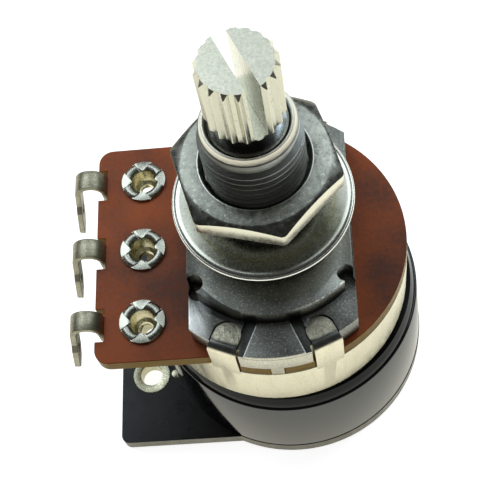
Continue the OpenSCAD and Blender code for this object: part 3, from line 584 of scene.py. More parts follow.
def lug_profile():
    """Side view of a crimp lug: up from the can's wall and folded over the casting."""
    bend_r = 0.8
    return ([(can_in_r, wafer_low_z - 0.6), (can_r, wafer_low_z - 0.6)]
            + arc(can_r - bend_r, lug_top_z - bend_r, bend_r, 0, 90, 10)
            + [(lug_tip_r, lug_top_z - 0.06), (lug_tip_r, lug_top_z - can_t)]
            + arc(can_r - bend_r, lug_top_z - bend_r, bend_r - can_t, 90, 0, 6))


def crimp_lug(angle, lean):
    """One crimp lug with a rounded tip, its shoulders flared a little towards the wall."""
    half, flare = size("lug_w") / 2, 0.12
    lug = strip("lug", lug_profile(), 0, size("lug_w") + 0.3)
    plan = slab("plan", arc(lug_tip_r + half, lean, half, 90, 270, 20)
                + [(can_r - 0.6, -half), (can_r + 0.2, -half - flare),
                   (can_r + 0.2, half + flare), (can_r - 0.6, half)],
                can_low_z, 0)
    keep_common(lug, plan)
    break_edges(lug, 0.09, 40, 3)
    return turn_about_shaft(lug, angle)


def rivet_holes(bottom, top):
    """The two holes for the rivets that hold the switch to the can."""
    places = [(side * rivet_place, side * rivet_place) for side in (-1, 1)]
    return [drill(rivet_r, bottom, top, at, 32) for at in places]


def model_can():
    """The drawn can: wall, floor, window for the terminals, stop, rivet holes and four crimp lugs."""
    corner, hole_r, floor_z = 0.5, 1.8, can_low_z + can_t
    can = turned("can", [(hole_r, can_low_z)] + arc(can_r - corner, can_low_z + corner, corner, 270, 360, 6)
                 + [(can_r, wafer_low_z - 0.06), (can_r - 0.06, wafer_low_z), (can_in_r, wafer_low_z),
                    (can_in_r, floor_z), (hole_r, floor_z)], 160)
    window_half_w, window_h = terminal_pitch + 2.5, 2.2
    window = block("window", (-can_r - 1, -window_half_w, wafer_low_z - window_h),
                   (-1, window_half_w, wafer_low_z + 1))
    cut(can, window, *rivet_holes(can_low_z, floor_z))
    stop_in, stop_half_w, stop_h = 8.9, 1.2, 3.3
    stop = block("stop", (-can_in_r - past, -stop_half_w, floor_z - past),
                 (-stop_in, stop_half_w, floor_z + stop_h))
    lugs = [crimp_lug(angle, lean) for angle, lean in zip(lug_angles(), lug_leans)]
    return join(can, stop, *lugs)


def wafer_outline():
    """Plan of the terminal board: a disc with a notched, round-cornered tab to the left."""
    half, corner = terminal_pitch + 3.55, 1.3
    reach, notch_half, notch_in = wafer_reach, 1.5, 0.8
    start = 180 - math.degrees(math.asin(half / wafer_r))
    points = arc(0, 0, wafer_r, -start, start, 144)
    points += arc(-reach + corner, half - corner, corner, 90, 180, 8)
    for k in (1, 0, -1):
        y = k * terminal_pitch
        points += [(-reach, y + notch_half), (-reach + notch_in, y + notch_half),
                   (-reach + notch_in, y - notch_half), (-reach, y - notch_half)]
    return points + arc(-reach + corner, -half + corner, corner, 180, 270, 8)


def model_wafer():
    """The phenolic terminal board, punched with its hub hole, eyelet holes, lug slots and key slots."""
    wafer = slab("wafer", wafer_outline(), wafer_low_z, wafer_z)
    hub_r, tube_r, key_gap = shaft_r + 1.2, size("eyelet_bore_r") + 0.25, 0.6
    tools = [drill(hub_r, wafer_low_z, wafer_z)]
    tools += [drill(tube_r, wafer_low_z, wafer_z, (eyelet_x, k * terminal_pitch), 40) for k in (-1, 0, 1)]
    slots = [(angle, can_in_r - 0.1, size("lug_w") / 2 + 0.15) for angle in lug_angles()]
    slots += [(angle, can_in_r - 0.05, key_gap) for angle in (-90, 90)]
    for angle, inner, half in slots:
        slot = block("slot", (inner, -half, wafer_low_z - past), (can_r + 1, half, wafer_z + past))
        tools.append(turn_about_shaft(slot, angle))
    cut(wafer, *tools)
    return break_edges(wafer, 0.05, 50, 1)


def model_eyelet():
    """A tubular rivet with its rolled top pressed into four flat triangles, each with a split beside it."""
    bore_r, head_r = size("eyelet_bore_r"), eyelet_r
    tube_r, foot_r, throat_r = bore_r + 0.25, bore_r + 0.7, bore_r - 0.3
    seat_z, under_z = wafer_z, eyelet_low_z + 0.3
    top_z = seat_z + 0.45
    lip_z, lip_r = seat_z + 0.06, (head_r - bore_r) / 2 - 0.06
    crown = arc((bore_r + head_r) / 2 + 0.06, lip_z, lip_r, 0, 180, 14)
    crown = [(r, lip_z + (z - lip_z) * (top_z - lip_z) / lip_r) for r, z in crown]
    eyelet = turned("eyelet", [
        (bore_r, wafer_low_z), (throat_r, wafer_low_z - 0.15), (throat_r, eyelet_low_z),
        (foot_r - 0.15, eyelet_low_z), (foot_r, under_z - 0.1), (foot_r, under_z), (tube_r, under_z),
        (tube_r, seat_z), (head_r, seat_z)] + crown, 96)
    near, far = bore_r + 0.05, head_r + 0.2
    turns = (94, 6, -94, 178)
    press = [(near - 0.02, 0)] + arc(0, 0, far, -28, 28, 8)
    petal = [(near, 0)] + arc(0, 0, head_r - 0.01, -27, 27, 8)
    slit = [(near - 0.3, -0.03), (far, 0.98), (far, 1.1), (near - 0.3, 0.09)]
    cut(eyelet, *slabs_at(turns, "press", press, top_z - 0.2, top_z + 0.2))
    join(eyelet, *slabs_at(turns, "petal", petal, seat_z + 0.05, top_z - 0.13))
    cut(eyelet, *slabs_at(turns, "slit", slit, seat_z + 0.1, top_z + 0.2))
    break_edges(eyelet, 0.06, 40, 2)
    activate(eyelet)
    eyelet.location = (eyelet_x, 0, 0)
    bpy.ops.object.transform_apply(location=True, rotation=False, scale=False)
    return eyelet


def model_cover():
    """The switch's cover: a black disc with a sloping rim and the shaft's hole, set a little to the right."""
    slope = 0.42
    cover = turned("switch_cover", [(0, cover_low_z), (cover_r, cover_low_z), (cover_r, cover_low_z + 0.12),
                                    (cover_r - slope * 0.5, cover_low_z + 0.75), (cover_r - slope, can_low_z),
                                    (0, can_low_z)], 160, (switch_x, 0))
    clearance_r = 3.1
    return cut(cover, drill(clearance_r, cover_low_z, can_low_z), *rivet_holes(cover_low_z, can_low_z))


def model_housing():
    """The switch's housing: a drafted wall set a little to the right, over the solid's rails and posts."""
    inner_r = housing_r - 1.1
    shell = turned("switch_housing", [
        (0, board_top_z), (housing_foot_r - 0.04, board_top_z), (housing_foot_r, board_top_z + 0.05),
        (housing_r, cover_low_z - 0.14), (housing_r - 0.04, cover_low_z - 0.05),
        (housing_r - 0.14, cover_low_z), (0, cover_low_z)], 160, (switch_x, 0))
    cut(shell, rod("bore", inner_r, board_top_z - 1, cover_low_z + 1, steps=160))
    core = rod("core", inner_r + 0.2, board_low_z - 2, cover_low_z, steps=160)
    return join(shell, keep_common(copied_solid("switch_housing", "inside"), core))


def board_outline():
    """Plan of the circuit board: a disc flush with the housing and a tab under the terminals."""
    corner = 0.8
    start = 180 - math.degrees(math.asin(board_half_w / board_r))
    return (arc(switch_x, 0, board_r, -start, start, 144)
            + arc(-board_reach + corner, board_half_w - corner, corner, 90, 180, 8)
            + arc(-board_reach + corner, -board_half_w + corner, corner, 180, 270, 8))


def model_board():
    """The circuit board, drilled for its wire pads, vias, contact pins and the housing's pegs."""
    board = slab("circuit_board", board_outline(), board_low_z, board_top_z)
    places = [((-pad_x, k * pad_pitch), size("pad_hole_r") + 0.06) for k in (-1, 0, 1)]
    places += [((-via_x, k * pad_pitch), via_r) for k in (-1, 0, 1)]
    contact_x = (low("contact_common", 0) + high("contact_common", 0)) / 2
    pin_places, pin_hole_r = (2.4, -2.4, -4.4), 0.62
    places += [((contact_x, y), pin_hole_r) for y in pin_places]
    peg_away, peg_turn, peg_hole_r = housing_r - 2.3, 26.5, 0.9
    places += [(arc(0, 0, peg_away, side * peg_turn, side * peg_turn, 1)[0], peg_hole_r) for side in (-1, 1)]
    cut(board, *[drill(r, board_low_z, board_top_z, at, 40) for at, r in places])
    return break_edges(board, 0.05, 50, 1)


def model_pads():
    """The plated wire holes and the small vias beside the housing."""
    hole_r, pad_r, film = size("pad_hole_r"), size("pad_r"), 0.06
    bottom, top = board_low_z, board_top_z
    pads = None
    for k in (-1, 0, 1):
        pad = turned("board_pads", [
            (hole_r, bottom - film), (pad_r - 0.05, bottom - film), (pad_r, bottom), (hole_r + film, bottom),
            (hole_r + film, top), (pad_r, top), (pad_r - 0.05, top + film), (hole_r + 0.12, top + film),
            (hole_r, top + 0.02)], 72, (-pad_x, k * pad_pitch))
        via = turned("via", [(0, bottom), (via_r, bottom), (via_r, top), (via_r - 0.15, top + 0.05),
                             (0, top + 0.05)], 32, (-via_x, k * pad_pitch))
        pads = join(pads, pad, via) if pads else join(pad, via)
    return cut(pads, rod("foot", housing_foot_r + 0.04, top, top + 1, (switch_x, 0), 160))


# The finishes


class Finish:
    """One procedural material on Object coordinates, with small helpers for its nodes."""

    def __init__(self, name, metallic, roughness, specular=0.5):
        self.material = bpy.data.materials.new(name + "_finish")
        self.material.use_nodes = True
        self.tree = self.material.node_tree
        self.shader = self.tree.nodes["Principled BSDF"]
        self.shader.inputs["Metallic"].default_value = metallic
        self.shader.inputs["Roughness"].default_value = roughness
        self.shader.inputs["Specular IOR Level"].default_value = specular
        self.place = self.node("ShaderNodeTexCoord").outputs["Object"]
        self.parts = self.node("ShaderNodeSeparateXYZ")
        self.tree.links.new(self.place, self.parts.inputs[0])
        self.relief = None

    def node(self, kind):
        """A new node of the given kind."""
        return self.tree.nodes.new(kind)

    def feed(self, socket, value):
        """Links value to socket, or sets it there."""
        if hasattr(value, "links"):
            self.tree.links.new(value, socket)
        else:
            socket.default_value = value

    def math(self, operation, a, b=0.0):
        """A Math node's result."""
        step = self.node("ShaderNodeMath")
        step.operation = operation
        self.feed(step.inputs[0], a)
        self.feed(step.inputs[1], b)
        return step.outputs[0]

    def times(self, *values):
        """The product of masks or numbers."""
        product = values[0]
        for value in values[1:]:
            product = self.math("MULTIPLY", product, value)
        return product

    def along(self, axis):
        """Place along X, Y or Z, in millimetres."""
        return self.times(self.parts.outputs[axis], 1 / MM)

    def from_centre(self, cx=0.0, cy=0.0):
        """Distance from an upright axis, in millimetres."""
        dx = self.math("SUBTRACT", self.along("X"), cx)
        dy = self.math("SUBTRACT", self.along("Y"), cy)
        return self.math("SQRT", self.math("ADD", self.times(dx, dx), self.times(dy, dy)))

    def upward(self):
        """1 on faces that look up, 0 on walls, -1 on faces that look down."""
        normal = self.node("ShaderNodeNewGeometry").outputs["Normal"]
        split = self.node("ShaderNodeSeparateXYZ")
        self.tree.links.new(normal, split.inputs[0])
        return split.outputs["Z"]

    def levels(self, value, start, stop, low_value=0.0, high_value=1.0):
        """Value brought from start..stop to low_value..high_value, clamped."""
        step = self.node("ShaderNodeMapRange")
        self.feed(step.inputs["Value"], value)
        numbers = {"From Min": start, "From Max": stop, "To Min": low_value, "To Max": high_value}
        for socket, number in numbers.items():
            step.inputs[socket].default_value = number
        return step.outputs[0]

    def near(self, value, middle, inner, outer, peak=1.0):
        """Peak where value is within inner of middle, and 0 past outer."""
        return self.levels(self.math("ABSOLUTE", self.math("SUBTRACT", value, middle)), inner, outer, peak, 0)

    def walls(self, steep=0.35, flat=0.6):
        """1 on upright faces and 0 on flat ones."""
        return self.levels(self.math("ABSOLUTE", self.upward()), steep, flat, 1, 0)

    def noise(self, grain_mm, detail=3.0, roughness=0.55, stretch=(1, 1, 1), place=None, turn=0.0):
        """Noise with grains of the given size, stretched along an axis by a factor below 1."""
        mapping = self.node("ShaderNodeMapping")
        self.tree.links.new(place or self.place, mapping.inputs["Vector"])
        mapping.inputs["Scale"].default_value = tuple(s / (grain_mm * MM) for s in stretch)
        mapping.inputs["Rotation"].default_value = (0, 0, math.radians(turn))
        texture = self.node("ShaderNodeTexNoise")
        self.tree.links.new(mapping.outputs[0], texture.inputs["Vector"])
        texture.inputs["Scale"].default_value = 1
        texture.inputs["Detail"].default_value = detail
        texture.inputs["Roughness"].default_value = roughness
        return texture.outputs["Fac"]

    def rings(self, value_mm, grain_mm, detail=2.0):
        """Noise along one measure only: turning marks along a radius or a height."""
        joined = self.node("ShaderNodeCombineXYZ")
        self.tree.links.new(self.math("DIVIDE", value_mm, grain_mm), joined.inputs[0])
        texture = self.node("ShaderNodeTexNoise")
        self.tree.links.new(joined.outputs[0], texture.inputs["Vector"])
        texture.inputs["Scale"].default_value = 1
        texture.inputs["Detail"].default_value = detail
        return texture.outputs["Fac"]

    def mix(self, share, a, b, how="MIX"):
        """Two colours mixed by share."""
        step = self.node("ShaderNodeMix")
        step.data_type = "RGBA"
        step.blend_type = how
        step.clamp_factor = True
        self.feed(step.inputs["Factor"], share)
        self.feed(step.inputs[6], a)
        self.feed(step.inputs[7], b)
        return step.outputs[2]

    def raise_by(self, height, depth_mm, strength=1.0):
        """Adds relief of the given depth to the surface."""
        step = self.node("ShaderNodeBump")
        step.inputs["Strength"].default_value = strength
        step.inputs["Distance"].default_value = depth_mm * MM
        self.feed(step.inputs["Height"], height)
        if self.relief:
            self.tree.links.new(self.relief, step.inputs["Normal"])
        self.relief = step.outputs[0]
        self.tree.links.new(self.relief, self.shader.inputs["Normal"])

    def dress(self, base, roughness=None):
        """Sets the base colour and the roughness."""
        self.feed(self.shader.inputs["Base Color"], base)
        if roughness is not None:
            self.feed(self.shader.inputs["Roughness"], roughness)
        return self.material


# Painted light colours: a highlight for bright edges, and a dark shade for the shaft's neck and slot corners.
EDGE_HIGHLIGHT = (0.9, 0.9, 0.84, 1)
DARK_SHADE = (0.1, 0.1, 0.09, 1)


def shade_of(tint, factor):
    """A colour made darker or lighter."""
    return (*(min(1, part * factor) for part in tint[:3]), 1)


def shade_bushing(f, base, tint, clouds):
    """Painted shade darkens the bushing, a painted sheen brightens its right side towards the top, and a
    painted highlight brightens its rim.
    """
    across, height = f.along("X"), f.along("Z")
    # Painted shade: the bushing darker than the plate below it.
    base = f.mix(f.levels(height, 0.0, 0.3, 0, 0.6), base, shade_of(tint, 0.52))
    # Painted sheen: the bushing's right side brighter towards the top.
    painted_sheen = f.times(f.levels(across, -0.5, 3.2), f.levels(height, bushing_top - 3.8, bushing_top - 2.2),
                     f.levels(clouds, 0.3, 0.6, 0.35, 0.75))
    base = f.mix(painted_sheen, base, (0.66, 0.7, 0.68, 1))
    # Painted highlight on the bushing's rim.
    return f.mix(f.levels(height, bushing_top - 0.5, bushing_top - 0.46), base, (0.78, 0.75, 0.64, 1))


def shade_disc(f, base, tint):
    """Painted shade round the disc's foot, most at the left, and on its left wall and front-left rim, its top
    painted lighter on the right and darker on the left, and bright chips on its right rim.
    """
    radius, across, back, height = f.from_centre(), f.along("X"), f.along("Y"), f.along("Z")
    disc_r = size("disc_r")
    # Painted shade round the foot of the disc's wall.
    foot = f.times(f.levels(height, plate_z + 0.5, plate_z + 1.7, 1, 0),
                   f.levels(height, plate_z - 0.02, plate_z + 0.1))
    base = f.mix(f.times(foot, 0.9), base, shade_of(tint, 0.08))
    # Painted shade on the disc's left wall and front-left rim; worn_r is a radius shifted towards the left
    # that shapes this shade.
    left_wall_shade = f.times(f.levels(across, -0.5, -3.5), f.levels(radius, disc_r + 0.3, disc_r + 0.55, 1, 0),
                     f.levels(radius, disc_r - 0.12, disc_r - 0.06),
                     f.levels(height, disc_z - 0.2, disc_z - 0.35))
    worn_r = f.math("ADD", radius, f.levels(across, -2.0, -5.5, -0.1, 0.5))
    front_left_rim_shade = f.times(f.levels(worn_r, disc_r - 0.06, disc_r), f.levels(back, -2.5, -3.5),
                   f.levels(radius, disc_r + 0.25, disc_r + 0.45, 1, 0), f.levels(across, -1.0, -2.5))
    base = f.mix(f.times(f.math("MAXIMUM", left_wall_shade, front_left_rim_shade), 0.94), base, shade_of(tint, 0.08))
    # Painted light: the disc's top lighter on the right and darker on the left.
    top = f.times(f.levels(height, plate_z + 1.5, disc_z - 0.1), f.levels(height, -0.1, -0.3))
    base = f.mix(f.times(top, f.levels(across, 1.0, 6.0, 0, 0.4)), base, (0.62, 0.64, 0.6, 1))
    base = f.mix(f.times(top, f.levels(across, -2.5, -6.0, 0, 0.35)), base, shade_of(tint, 0.25))
    chips = f.times(f.near(radius, disc_r - 0.03, 0.04, 0.12), f.levels(f.noise(0.3, 4, 0.7), 0.47, 0.56),
                    f.levels(across, 1.0, 4.0), f.near(height, disc_z, 0.05, 0.16))
    return f.mix(chips, base, (0.86, 0.86, 0.8, 1))


def shade_plate(f, base, tint, clouds, specks):
    """Painted shade in the channels beside the tongue, painted highlights along the tongue's edges and on the
    left corner, a painted reflection of the floor on the front end face, and a dark parting line.
    """
    radius, across, back, height = f.from_centre(), f.along("X"), f.along("Y"), f.along("Z")
    aside, ahead = f.math("ABSOLUTE", across), f.math("ABSOLUTE", back)
    # Painted shade in the channels beside the tongue.
    channel = f.times(f.levels(height, plate_z - 0.24, plate_z - 0.12, 1, 0),
                      f.levels(height, plate_z - 0.42, plate_z - 0.32), f.levels(aside, 3.4, 3.7, 1, 0))
    base = f.mix(f.times(channel, 0.9), base, shade_of(tint, 0.12))
    # Painted highlight along the tongue's edges.
    tongue_side = f.math("SUBTRACT", f.times(ahead, 0.43), 2.44)
    tongue_edge_highlight = f.times(f.near(aside, tongue_side, 0.02, 0.07), f.levels(ahead, 8.85, 9.0),
                      f.levels(height, plate_z - 0.12, plate_z - 0.08), f.levels(specks, 0.4, 0.5, 0.3, 0.8))
    base = f.mix(tongue_edge_highlight, base, EDGE_HIGHLIGHT)
    # Painted highlight on the plate's left corner.
    corner = f.times(f.levels(across, -7.2, -5.0, 1, 0), f.levels(back, -8.0, -5.8, 1, 0),
                     f.levels(clouds, 0.34, 0.48, 0.35, 1), f.levels(height, plate_z - 0.5, plate_z - 0.2))
    base = f.mix(corner, base, (0.97, 0.97, 0.93, 1))
    # Painted reflection of the floor on the tongue's front end face.
    end_face = f.times(f.levels(height, plate_z - 0.1, plate_z - 0.2), f.levels(aside, 3.4, 3.2),
                       f.levels(back, 0.6 - can_in_r, 0.4 - can_in_r), f.levels(f.upward(), 0.5, 0.3))
    floor_reflection = f.mix(f.levels(specks, 0.35, 0.6), (0.84, 0.8, 0.64, 1), (0.5, 0.48, 0.4, 1))
    base = f.mix(f.times(end_face, 0.75), base, floor_reflection)
    parting = f.times(f.near(height, plate_z - 0.62, 0.02, 0.07), f.levels(radius, can_in_r, can_in_r + 0.1))
    return f.mix(f.times(parting, 0.8), base, shade_of(tint, 0.15))


def casting_finish():
    """Zinc die casting: dull grey with flow clouds, pits and frost, painted shade in its hollows and on the
    bushing, and painted highlights and sheen on its edges, rim and left corner.
    """
    f = Finish("zinc_casting", 1.0, 0.3)
    tint = colour("casting")
    clouds, specks, frost = f.noise(2.0, 4, 0.65), f.noise(0.13, 3, 0.65), f.noise(0.2, 4, 0.75)
    base = f.mix(f.levels(clouds, 0.35, 0.68), shade_of(tint, 0.5), shade_of(tint, 0.85))
    base = f.mix(f.levels(specks, 0.46, 0.62, 0, 0.65), base, shade_of(tint, 0.36))
    frosted = f.times(f.levels(frost, 0.54, 0.68, 0, 0.6), f.levels(f.along("Z"), -0.3, -0.4))
    base = f.mix(frosted, base, (0.8, 0.82, 0.78, 1))
    base = shade_bushing(f, base, tint, clouds)
    base = shade_disc(f, base, tint)
    base = shade_plate(f, base, tint, clouds, specks)
    f.raise_by(specks, 0.026, 1.0)
    f.raise_by(frost, 0.03, 0.8)
    return f.dress(base, f.levels(f.math("ADD", clouds, f.times(specks, 0.5)), 0.5, 1.0, 0.3, 0.42))


def nut_finish():
    """Dull nickel on steel: mottled, with tumbling marks, painted shade towards the left and front, a painted
    highlight round the hole's mouth and a painted reflection of the floor on the side faces.
    """
    f = Finish("nut_metal", 1.0, 0.3)
    tint = colour("nut")
    mottle = f.noise(0.6, 5, 0.7)
    spots = f.noise(0.16, 3, 0.6)
    base = f.mix(f.levels(mottle, 0.38, 0.64), shade_of(tint, 0.5), shade_of(tint, 1.1))
    # Painted shade: darker towards the left and towards the front.
    base = f.mix(f.levels(f.along("X"), -1.0, -5.0, 0, 0.36), base, shade_of(tint, 0.4))
    base = f.mix(f.levels(f.along("Y"), -1.5, -5.0, 0, 0.5), base, shade_of(tint, 0.34))
    crazed = f.times(f.levels(f.noise(0.35, 5, 0.75), 0.56, 0.62),
                     f.levels(f.along("Y"), 2.0, -3.0, 0.3, 0.9))
    base = f.mix(f.times(crazed, 0.55), base, shade_of(tint, 1.9))
    # Painted highlight round the mouth of the hole.
    mouth_highlight = f.near(f.from_centre(), size("thread_r") + 0.42, 0.04, 0.1)
    mouth_highlight = f.times(mouth_highlight, f.levels(f.along("Z"), nut_top_z - 0.3, nut_top_z - 0.2, 0, 0.9))
    base = f.mix(mouth_highlight, base, EDGE_HIGHLIGHT)
    base = f.mix(f.levels(spots, 0.6, 0.7, 0, 0.6), base, shade_of(tint, 0.3))
    walls = f.walls(0.25, 0.5)
    # Painted reflection of the floor: the side faces lighter and creamier.
    painted_sheen = f.mix(f.levels(mottle, 0.3, 0.7), (0.7, 0.67, 0.54, 1), (0.88, 0.85, 0.7, 1))
    base = f.mix(f.times(walls, 0.9), base, painted_sheen)
    rough = f.levels(mottle, 0.35, 0.7, 0.24, 0.4)
    f.raise_by(mottle, 0.03, 0.5)
    f.raise_by(f.noise(0.12, 2, 0.5), 0.01, 0.5)
    return f.dress(base, rough)


def washer_finish(name):
    """Bright zinc on punched sheet: fine turning rings, cloudy passivation, a painted reflection of the nut
    as a brownish ring near it, a painted highlight on the rolled rim and painted shade in the groove inside
    it.
    """
    f = Finish(name, 1.0, 0.28)
    tint = colour("washer")
    radius = f.from_centre()
    clouds = f.noise(1.3, 4, 0.65)
    # Painted reflection of the nut: a brownish ring near its foot.
    nut_reflection = f.near(radius, 5.9, 0.08, 0.3, 0.4)
    base = f.mix(f.levels(clouds, 0.3, 0.7), shade_of(tint, 0.9), shade_of(tint, 1.03))
    base = f.mix(nut_reflection, base, (0.6, 0.52, 0.28, 1))
    # Painted highlight on the rolled rim.
    rim = f.levels(radius, washer_r - 0.16, washer_r - 0.12)
    base = f.mix(rim, base, (0.95, 0.94, 0.88, 1))
    # Painted shade in the groove inside the rim.
    groove = f.near(radius, washer_r - 0.22, 0.03, 0.06, 0.85)
    base = f.mix(groove, base, shade_of(tint, 0.1))
    base = f.mix(f.levels(f.noise(0.14, 3, 0.6), 0.58, 0.72, 0, 0.25), base, shade_of(tint, 0.5))
    rough = f.levels(f.noise(0.5, 4, 0.6), 0.35, 0.7, 0.22, 0.32)
    f.raise_by(f.rings(radius, 0.1), 0.006, 0.4)
    f.raise_by(f.noise(0.3, 3, 0.6), 0.01, 0.2)
    return f.dress(base, rough)


def shaft_finish():
    """Nickel on brass: sawn slot, turned body and rolled teeth."""
    f = Finish("shaft_metal", 1.0, 0.22)
    tint = colour("shaft")
    height = f.along("Z")
    streaks = f.noise(0.22, 4, 0.65, stretch=(1, 1, 0.06))
    base = f.mix(f.levels(streaks, 0.35, 0.7), shade_of(tint, 0.86), shade_of(tint, 1.03))
    grime = f.times(f.levels(f.noise(0.22, 3, 0.6), 0.56, 0.68), f.levels(f.from_centre(), 2.5, 2.9, 1, 0))
    walls = f.walls(0.3, 0.7)
    base = f.mix(f.times(grime, walls, 0.5), base, (0.12, 0.11, 0.09, 1))
    foot_z = shaft_tip_z - size("knurl_len")
    # Painted shade in the neck under the teeth, with a painted highlight on the neck's right side.
    neck_shade = f.times(f.levels(height, foot_z - 0.1, foot_z + 0.1, 1, 0),
                      f.levels(height, foot_z - 1.5, foot_z - 1.3))
    neck_highlight = f.levels(f.along("X"), 1.0, 2.2)
    base = f.mix(f.times(neck_shade, 0.9), base, f.mix(neck_highlight, DARK_SHADE, (0.6, 0.64, 0.66, 1)))
    slot_low_z = shaft_tip_z - size("slot_len")
    # Painted shade where the slot's walls meet its floor.
    slot_corner_shade = f.times(f.near(height, slot_low_z + 0.07, 0.05, 0.1), walls,
                   f.levels(f.from_centre(), shaft_r - 0.75, shaft_r - 0.7, 0.85, 0))
    base = f.mix(slot_corner_shade, base, DARK_SHADE)
    # Painted shade on the slot's floor.
    slot_floor_shade = f.near(height, slot_low_z, 0.05, 0.12)
    base = f.mix(f.times(slot_floor_shade, f.levels(f.upward(), 0.8, 0.9, 0, 0.8)), base, shade_of(tint, 0.5))
    rough = f.levels(streaks, 0.3, 0.7, 0.18, 0.3)
    f.raise_by(f.times(streaks, walls), 0.02, 0.6)
    f.raise_by(f.noise(0.3, 3, 0.6), 0.008, 0.2)
    return f.dress(base, rough)


def can_finish():
    """Tinned steel sheet: satin, finely speckled, with drawing marks along the wall and hammered lug tips."""
    f = Finish("can_metal", 1.0, 0.36)
    tint = colour("can")
    radius, height = f.from_centre(), f.along("Z")
    tips = f.times(f.levels(radius, can_r - 1.0, can_r - 0.7, 1, 0),
                   f.levels(height, lug_top_z - 0.2, lug_top_z - 0.1))
    bend_shade = f.times(f.levels(radius, can_r - 1.0, can_r - 0.8),
                   f.levels(height, lug_top_z - 0.44, lug_top_z - 0.28))
    hammered = f.noise(0.4, 4, 0.7)
    speckle = f.noise(0.16, 3, 0.65)
    draw = f.noise(0.6, 3, 0.6, stretch=(1, 1, 0.12))
    base = f.mix(f.levels(speckle, 0.4, 0.65), shade_of(tint, 0.86), shade_of(tint, 1.04))
    base = f.mix(f.levels(f.noise(0.1, 2, 0.5), 0.66, 0.72, 0, 0.55), base, shade_of(tint, 0.35))
    base = f.mix(f.levels(draw, 0.55, 0.75, 0, 0.2), base, shade_of(tint, 0.75))
    base = f.mix(f.times(tips, f.levels(hammered, 0.42, 0.6, 0.3, 0.75)), base, shade_of(tint, 0.42))
    # Painted shade along the lugs' bends.
    base = f.mix(f.times(bend_shade, 0.85), base, (0.08, 0.09, 0.1, 1))
    f.raise_by(f.times(hammered, tips), 0.16, 1.0)
    rough = f.levels(f.math("ADD", speckle, draw), 0.8, 1.2, 0.3, 0.46)
    f.raise_by(speckle, 0.008, 0.6)
    f.raise_by(f.noise(2.4, 2, 0.5), 0.05, 0.3)
    return f.dress(base, rough)


def phenolic_finish():
    """Lacquered phenolic board: red-brown face with darker clouds and specks, golden fibrous punched edge."""
    f = Finish("phenolic", 0.0, 0.45, 0.12)
    face, dark, edge = colour("phenolic"), colour("phenolic_dark"), colour("phenolic_cut")
    near_eyelets = f.levels(f.from_centre(eyelet_x + 2.6, -1.5), 2.0, 8.5, 0.16, -0.08)
    drift, dust = f.noise(5.0, 1, 0.4), f.noise(0.3, 3, 0.6)
    clouds = f.math("SUBTRACT", f.math("ADD", f.times(drift, 0.7), f.times(dust, 0.3)), near_eyelets)
    right_side = f.times(f.levels(f.along("X"), 6.0, 11.0, 0, 0.1), f.levels(f.along("Y"), 4.0, 0.0, 0.2, 1))
    clouds = f.math("SUBTRACT", clouds, right_side)
    weave = f.times(f.noise(0.3, 2, 0.5, stretch=(0.25, 1, 1)), f.noise(0.3, 2, 0.5, stretch=(1, 0.25, 1)))
    base = f.mix(f.levels(clouds, 0.36, 0.64), dark, face)
    base = f.mix(f.levels(weave, 0.18, 0.36, 0, 0.14), base, shade_of(face, 1.35))
    base = f.mix(f.levels(f.noise(0.28, 2, 0.5), 0.7, 0.76, 0, 0.7), base, shade_of(dark, 0.4))
    layers = f.rings(f.along("Z"), 0.12, 3)
    cut_edge = f.mix(f.levels(layers, 0.35, 0.65), shade_of(edge, 0.55), edge)
    wall = f.walls()
    f.feed(f.shader.inputs["Specular IOR Level"], f.levels(wall, 0, 1, 0.14, 0.04))
    f.raise_by(weave, 0.01, 0.4)
    return f.dress(f.mix(wall, base, cut_edge), f.levels(weave, 0.15, 0.4, 0.3, 0.48))


def terminal_finish():
    """Tinned brass strip: satin with rolling lines and dark and bright specks."""
    f = Finish("terminal_metal", 1.0, 0.4)
    tint = colour("terminal")
    # Painted shade in a band across the legs beyond the board's edge.
    leg_shade = f.near(f.along("Z"), wafer_z - 2.6, 0.5, 0.6, 0.9)
    lines = f.noise(0.2, 3, 0.6, stretch=(0.12, 1, 0.12))
    spots = f.noise(0.16, 4, 0.75)
    base = f.mix(f.levels(lines, 0.35, 0.68), shade_of(tint, 0.72), shade_of(tint, 1.1))
    base = f.mix(f.levels(spots, 0.48, 0.62, 0, 0.6), base, (0.2, 0.18, 0.12, 1))
    base = f.mix(f.levels(f.noise(0.12, 3, 0.7), 0.58, 0.68, 0, 0.5), base, (0.86, 0.83, 0.68, 1))
    leg_shade = f.times(leg_shade, f.levels(f.along("X"), -wafer_reach - 0.2, -wafer_reach + 0.1, 1, 0))
    base = f.mix(leg_shade, base, (0.08, 0.07, 0.05, 1))
    f.raise_by(lines, 0.012, 0.5)
    f.raise_by(spots, 0.015, 0.35)
    return f.dress(base, f.levels(spots, 0.35, 0.7, 0.36, 0.52))


def eyelet_finish():
    """Tinned brass eyelets: a painted highlight on the pressed petals, bare brass down the tube."""
    f = Finish("eyelet_metal", 1.0, 0.3)
    tint = colour("eyelet")
    spots = f.noise(0.14, 4, 0.65)
    base = f.mix(f.levels(spots, 0.36, 0.66), shade_of(tint, 0.45), shade_of(tint, 0.95))
    # Painted highlight on the flat pressed petals.
    pressed = f.near(f.along("Z"), wafer_z + 0.32, 0.02, 0.05)
    pressed = f.times(pressed, f.levels(f.upward(), 0.93, 0.97))
    base = f.mix(pressed, base, f.mix(f.levels(spots, 0.3, 0.7), shade_of(tint, 0.7), shade_of(tint, 1.1)))
    inside = f.levels(f.along("Z"), wafer_z - 0.1, wafer_z + 0.12, 1, 0)
    base = f.mix(inside, base, colour("brass"))
    f.raise_by(spots, 0.012, 0.5)
    return f.dress(base, f.levels(spots, 0.35, 0.7, 0.22, 0.4))


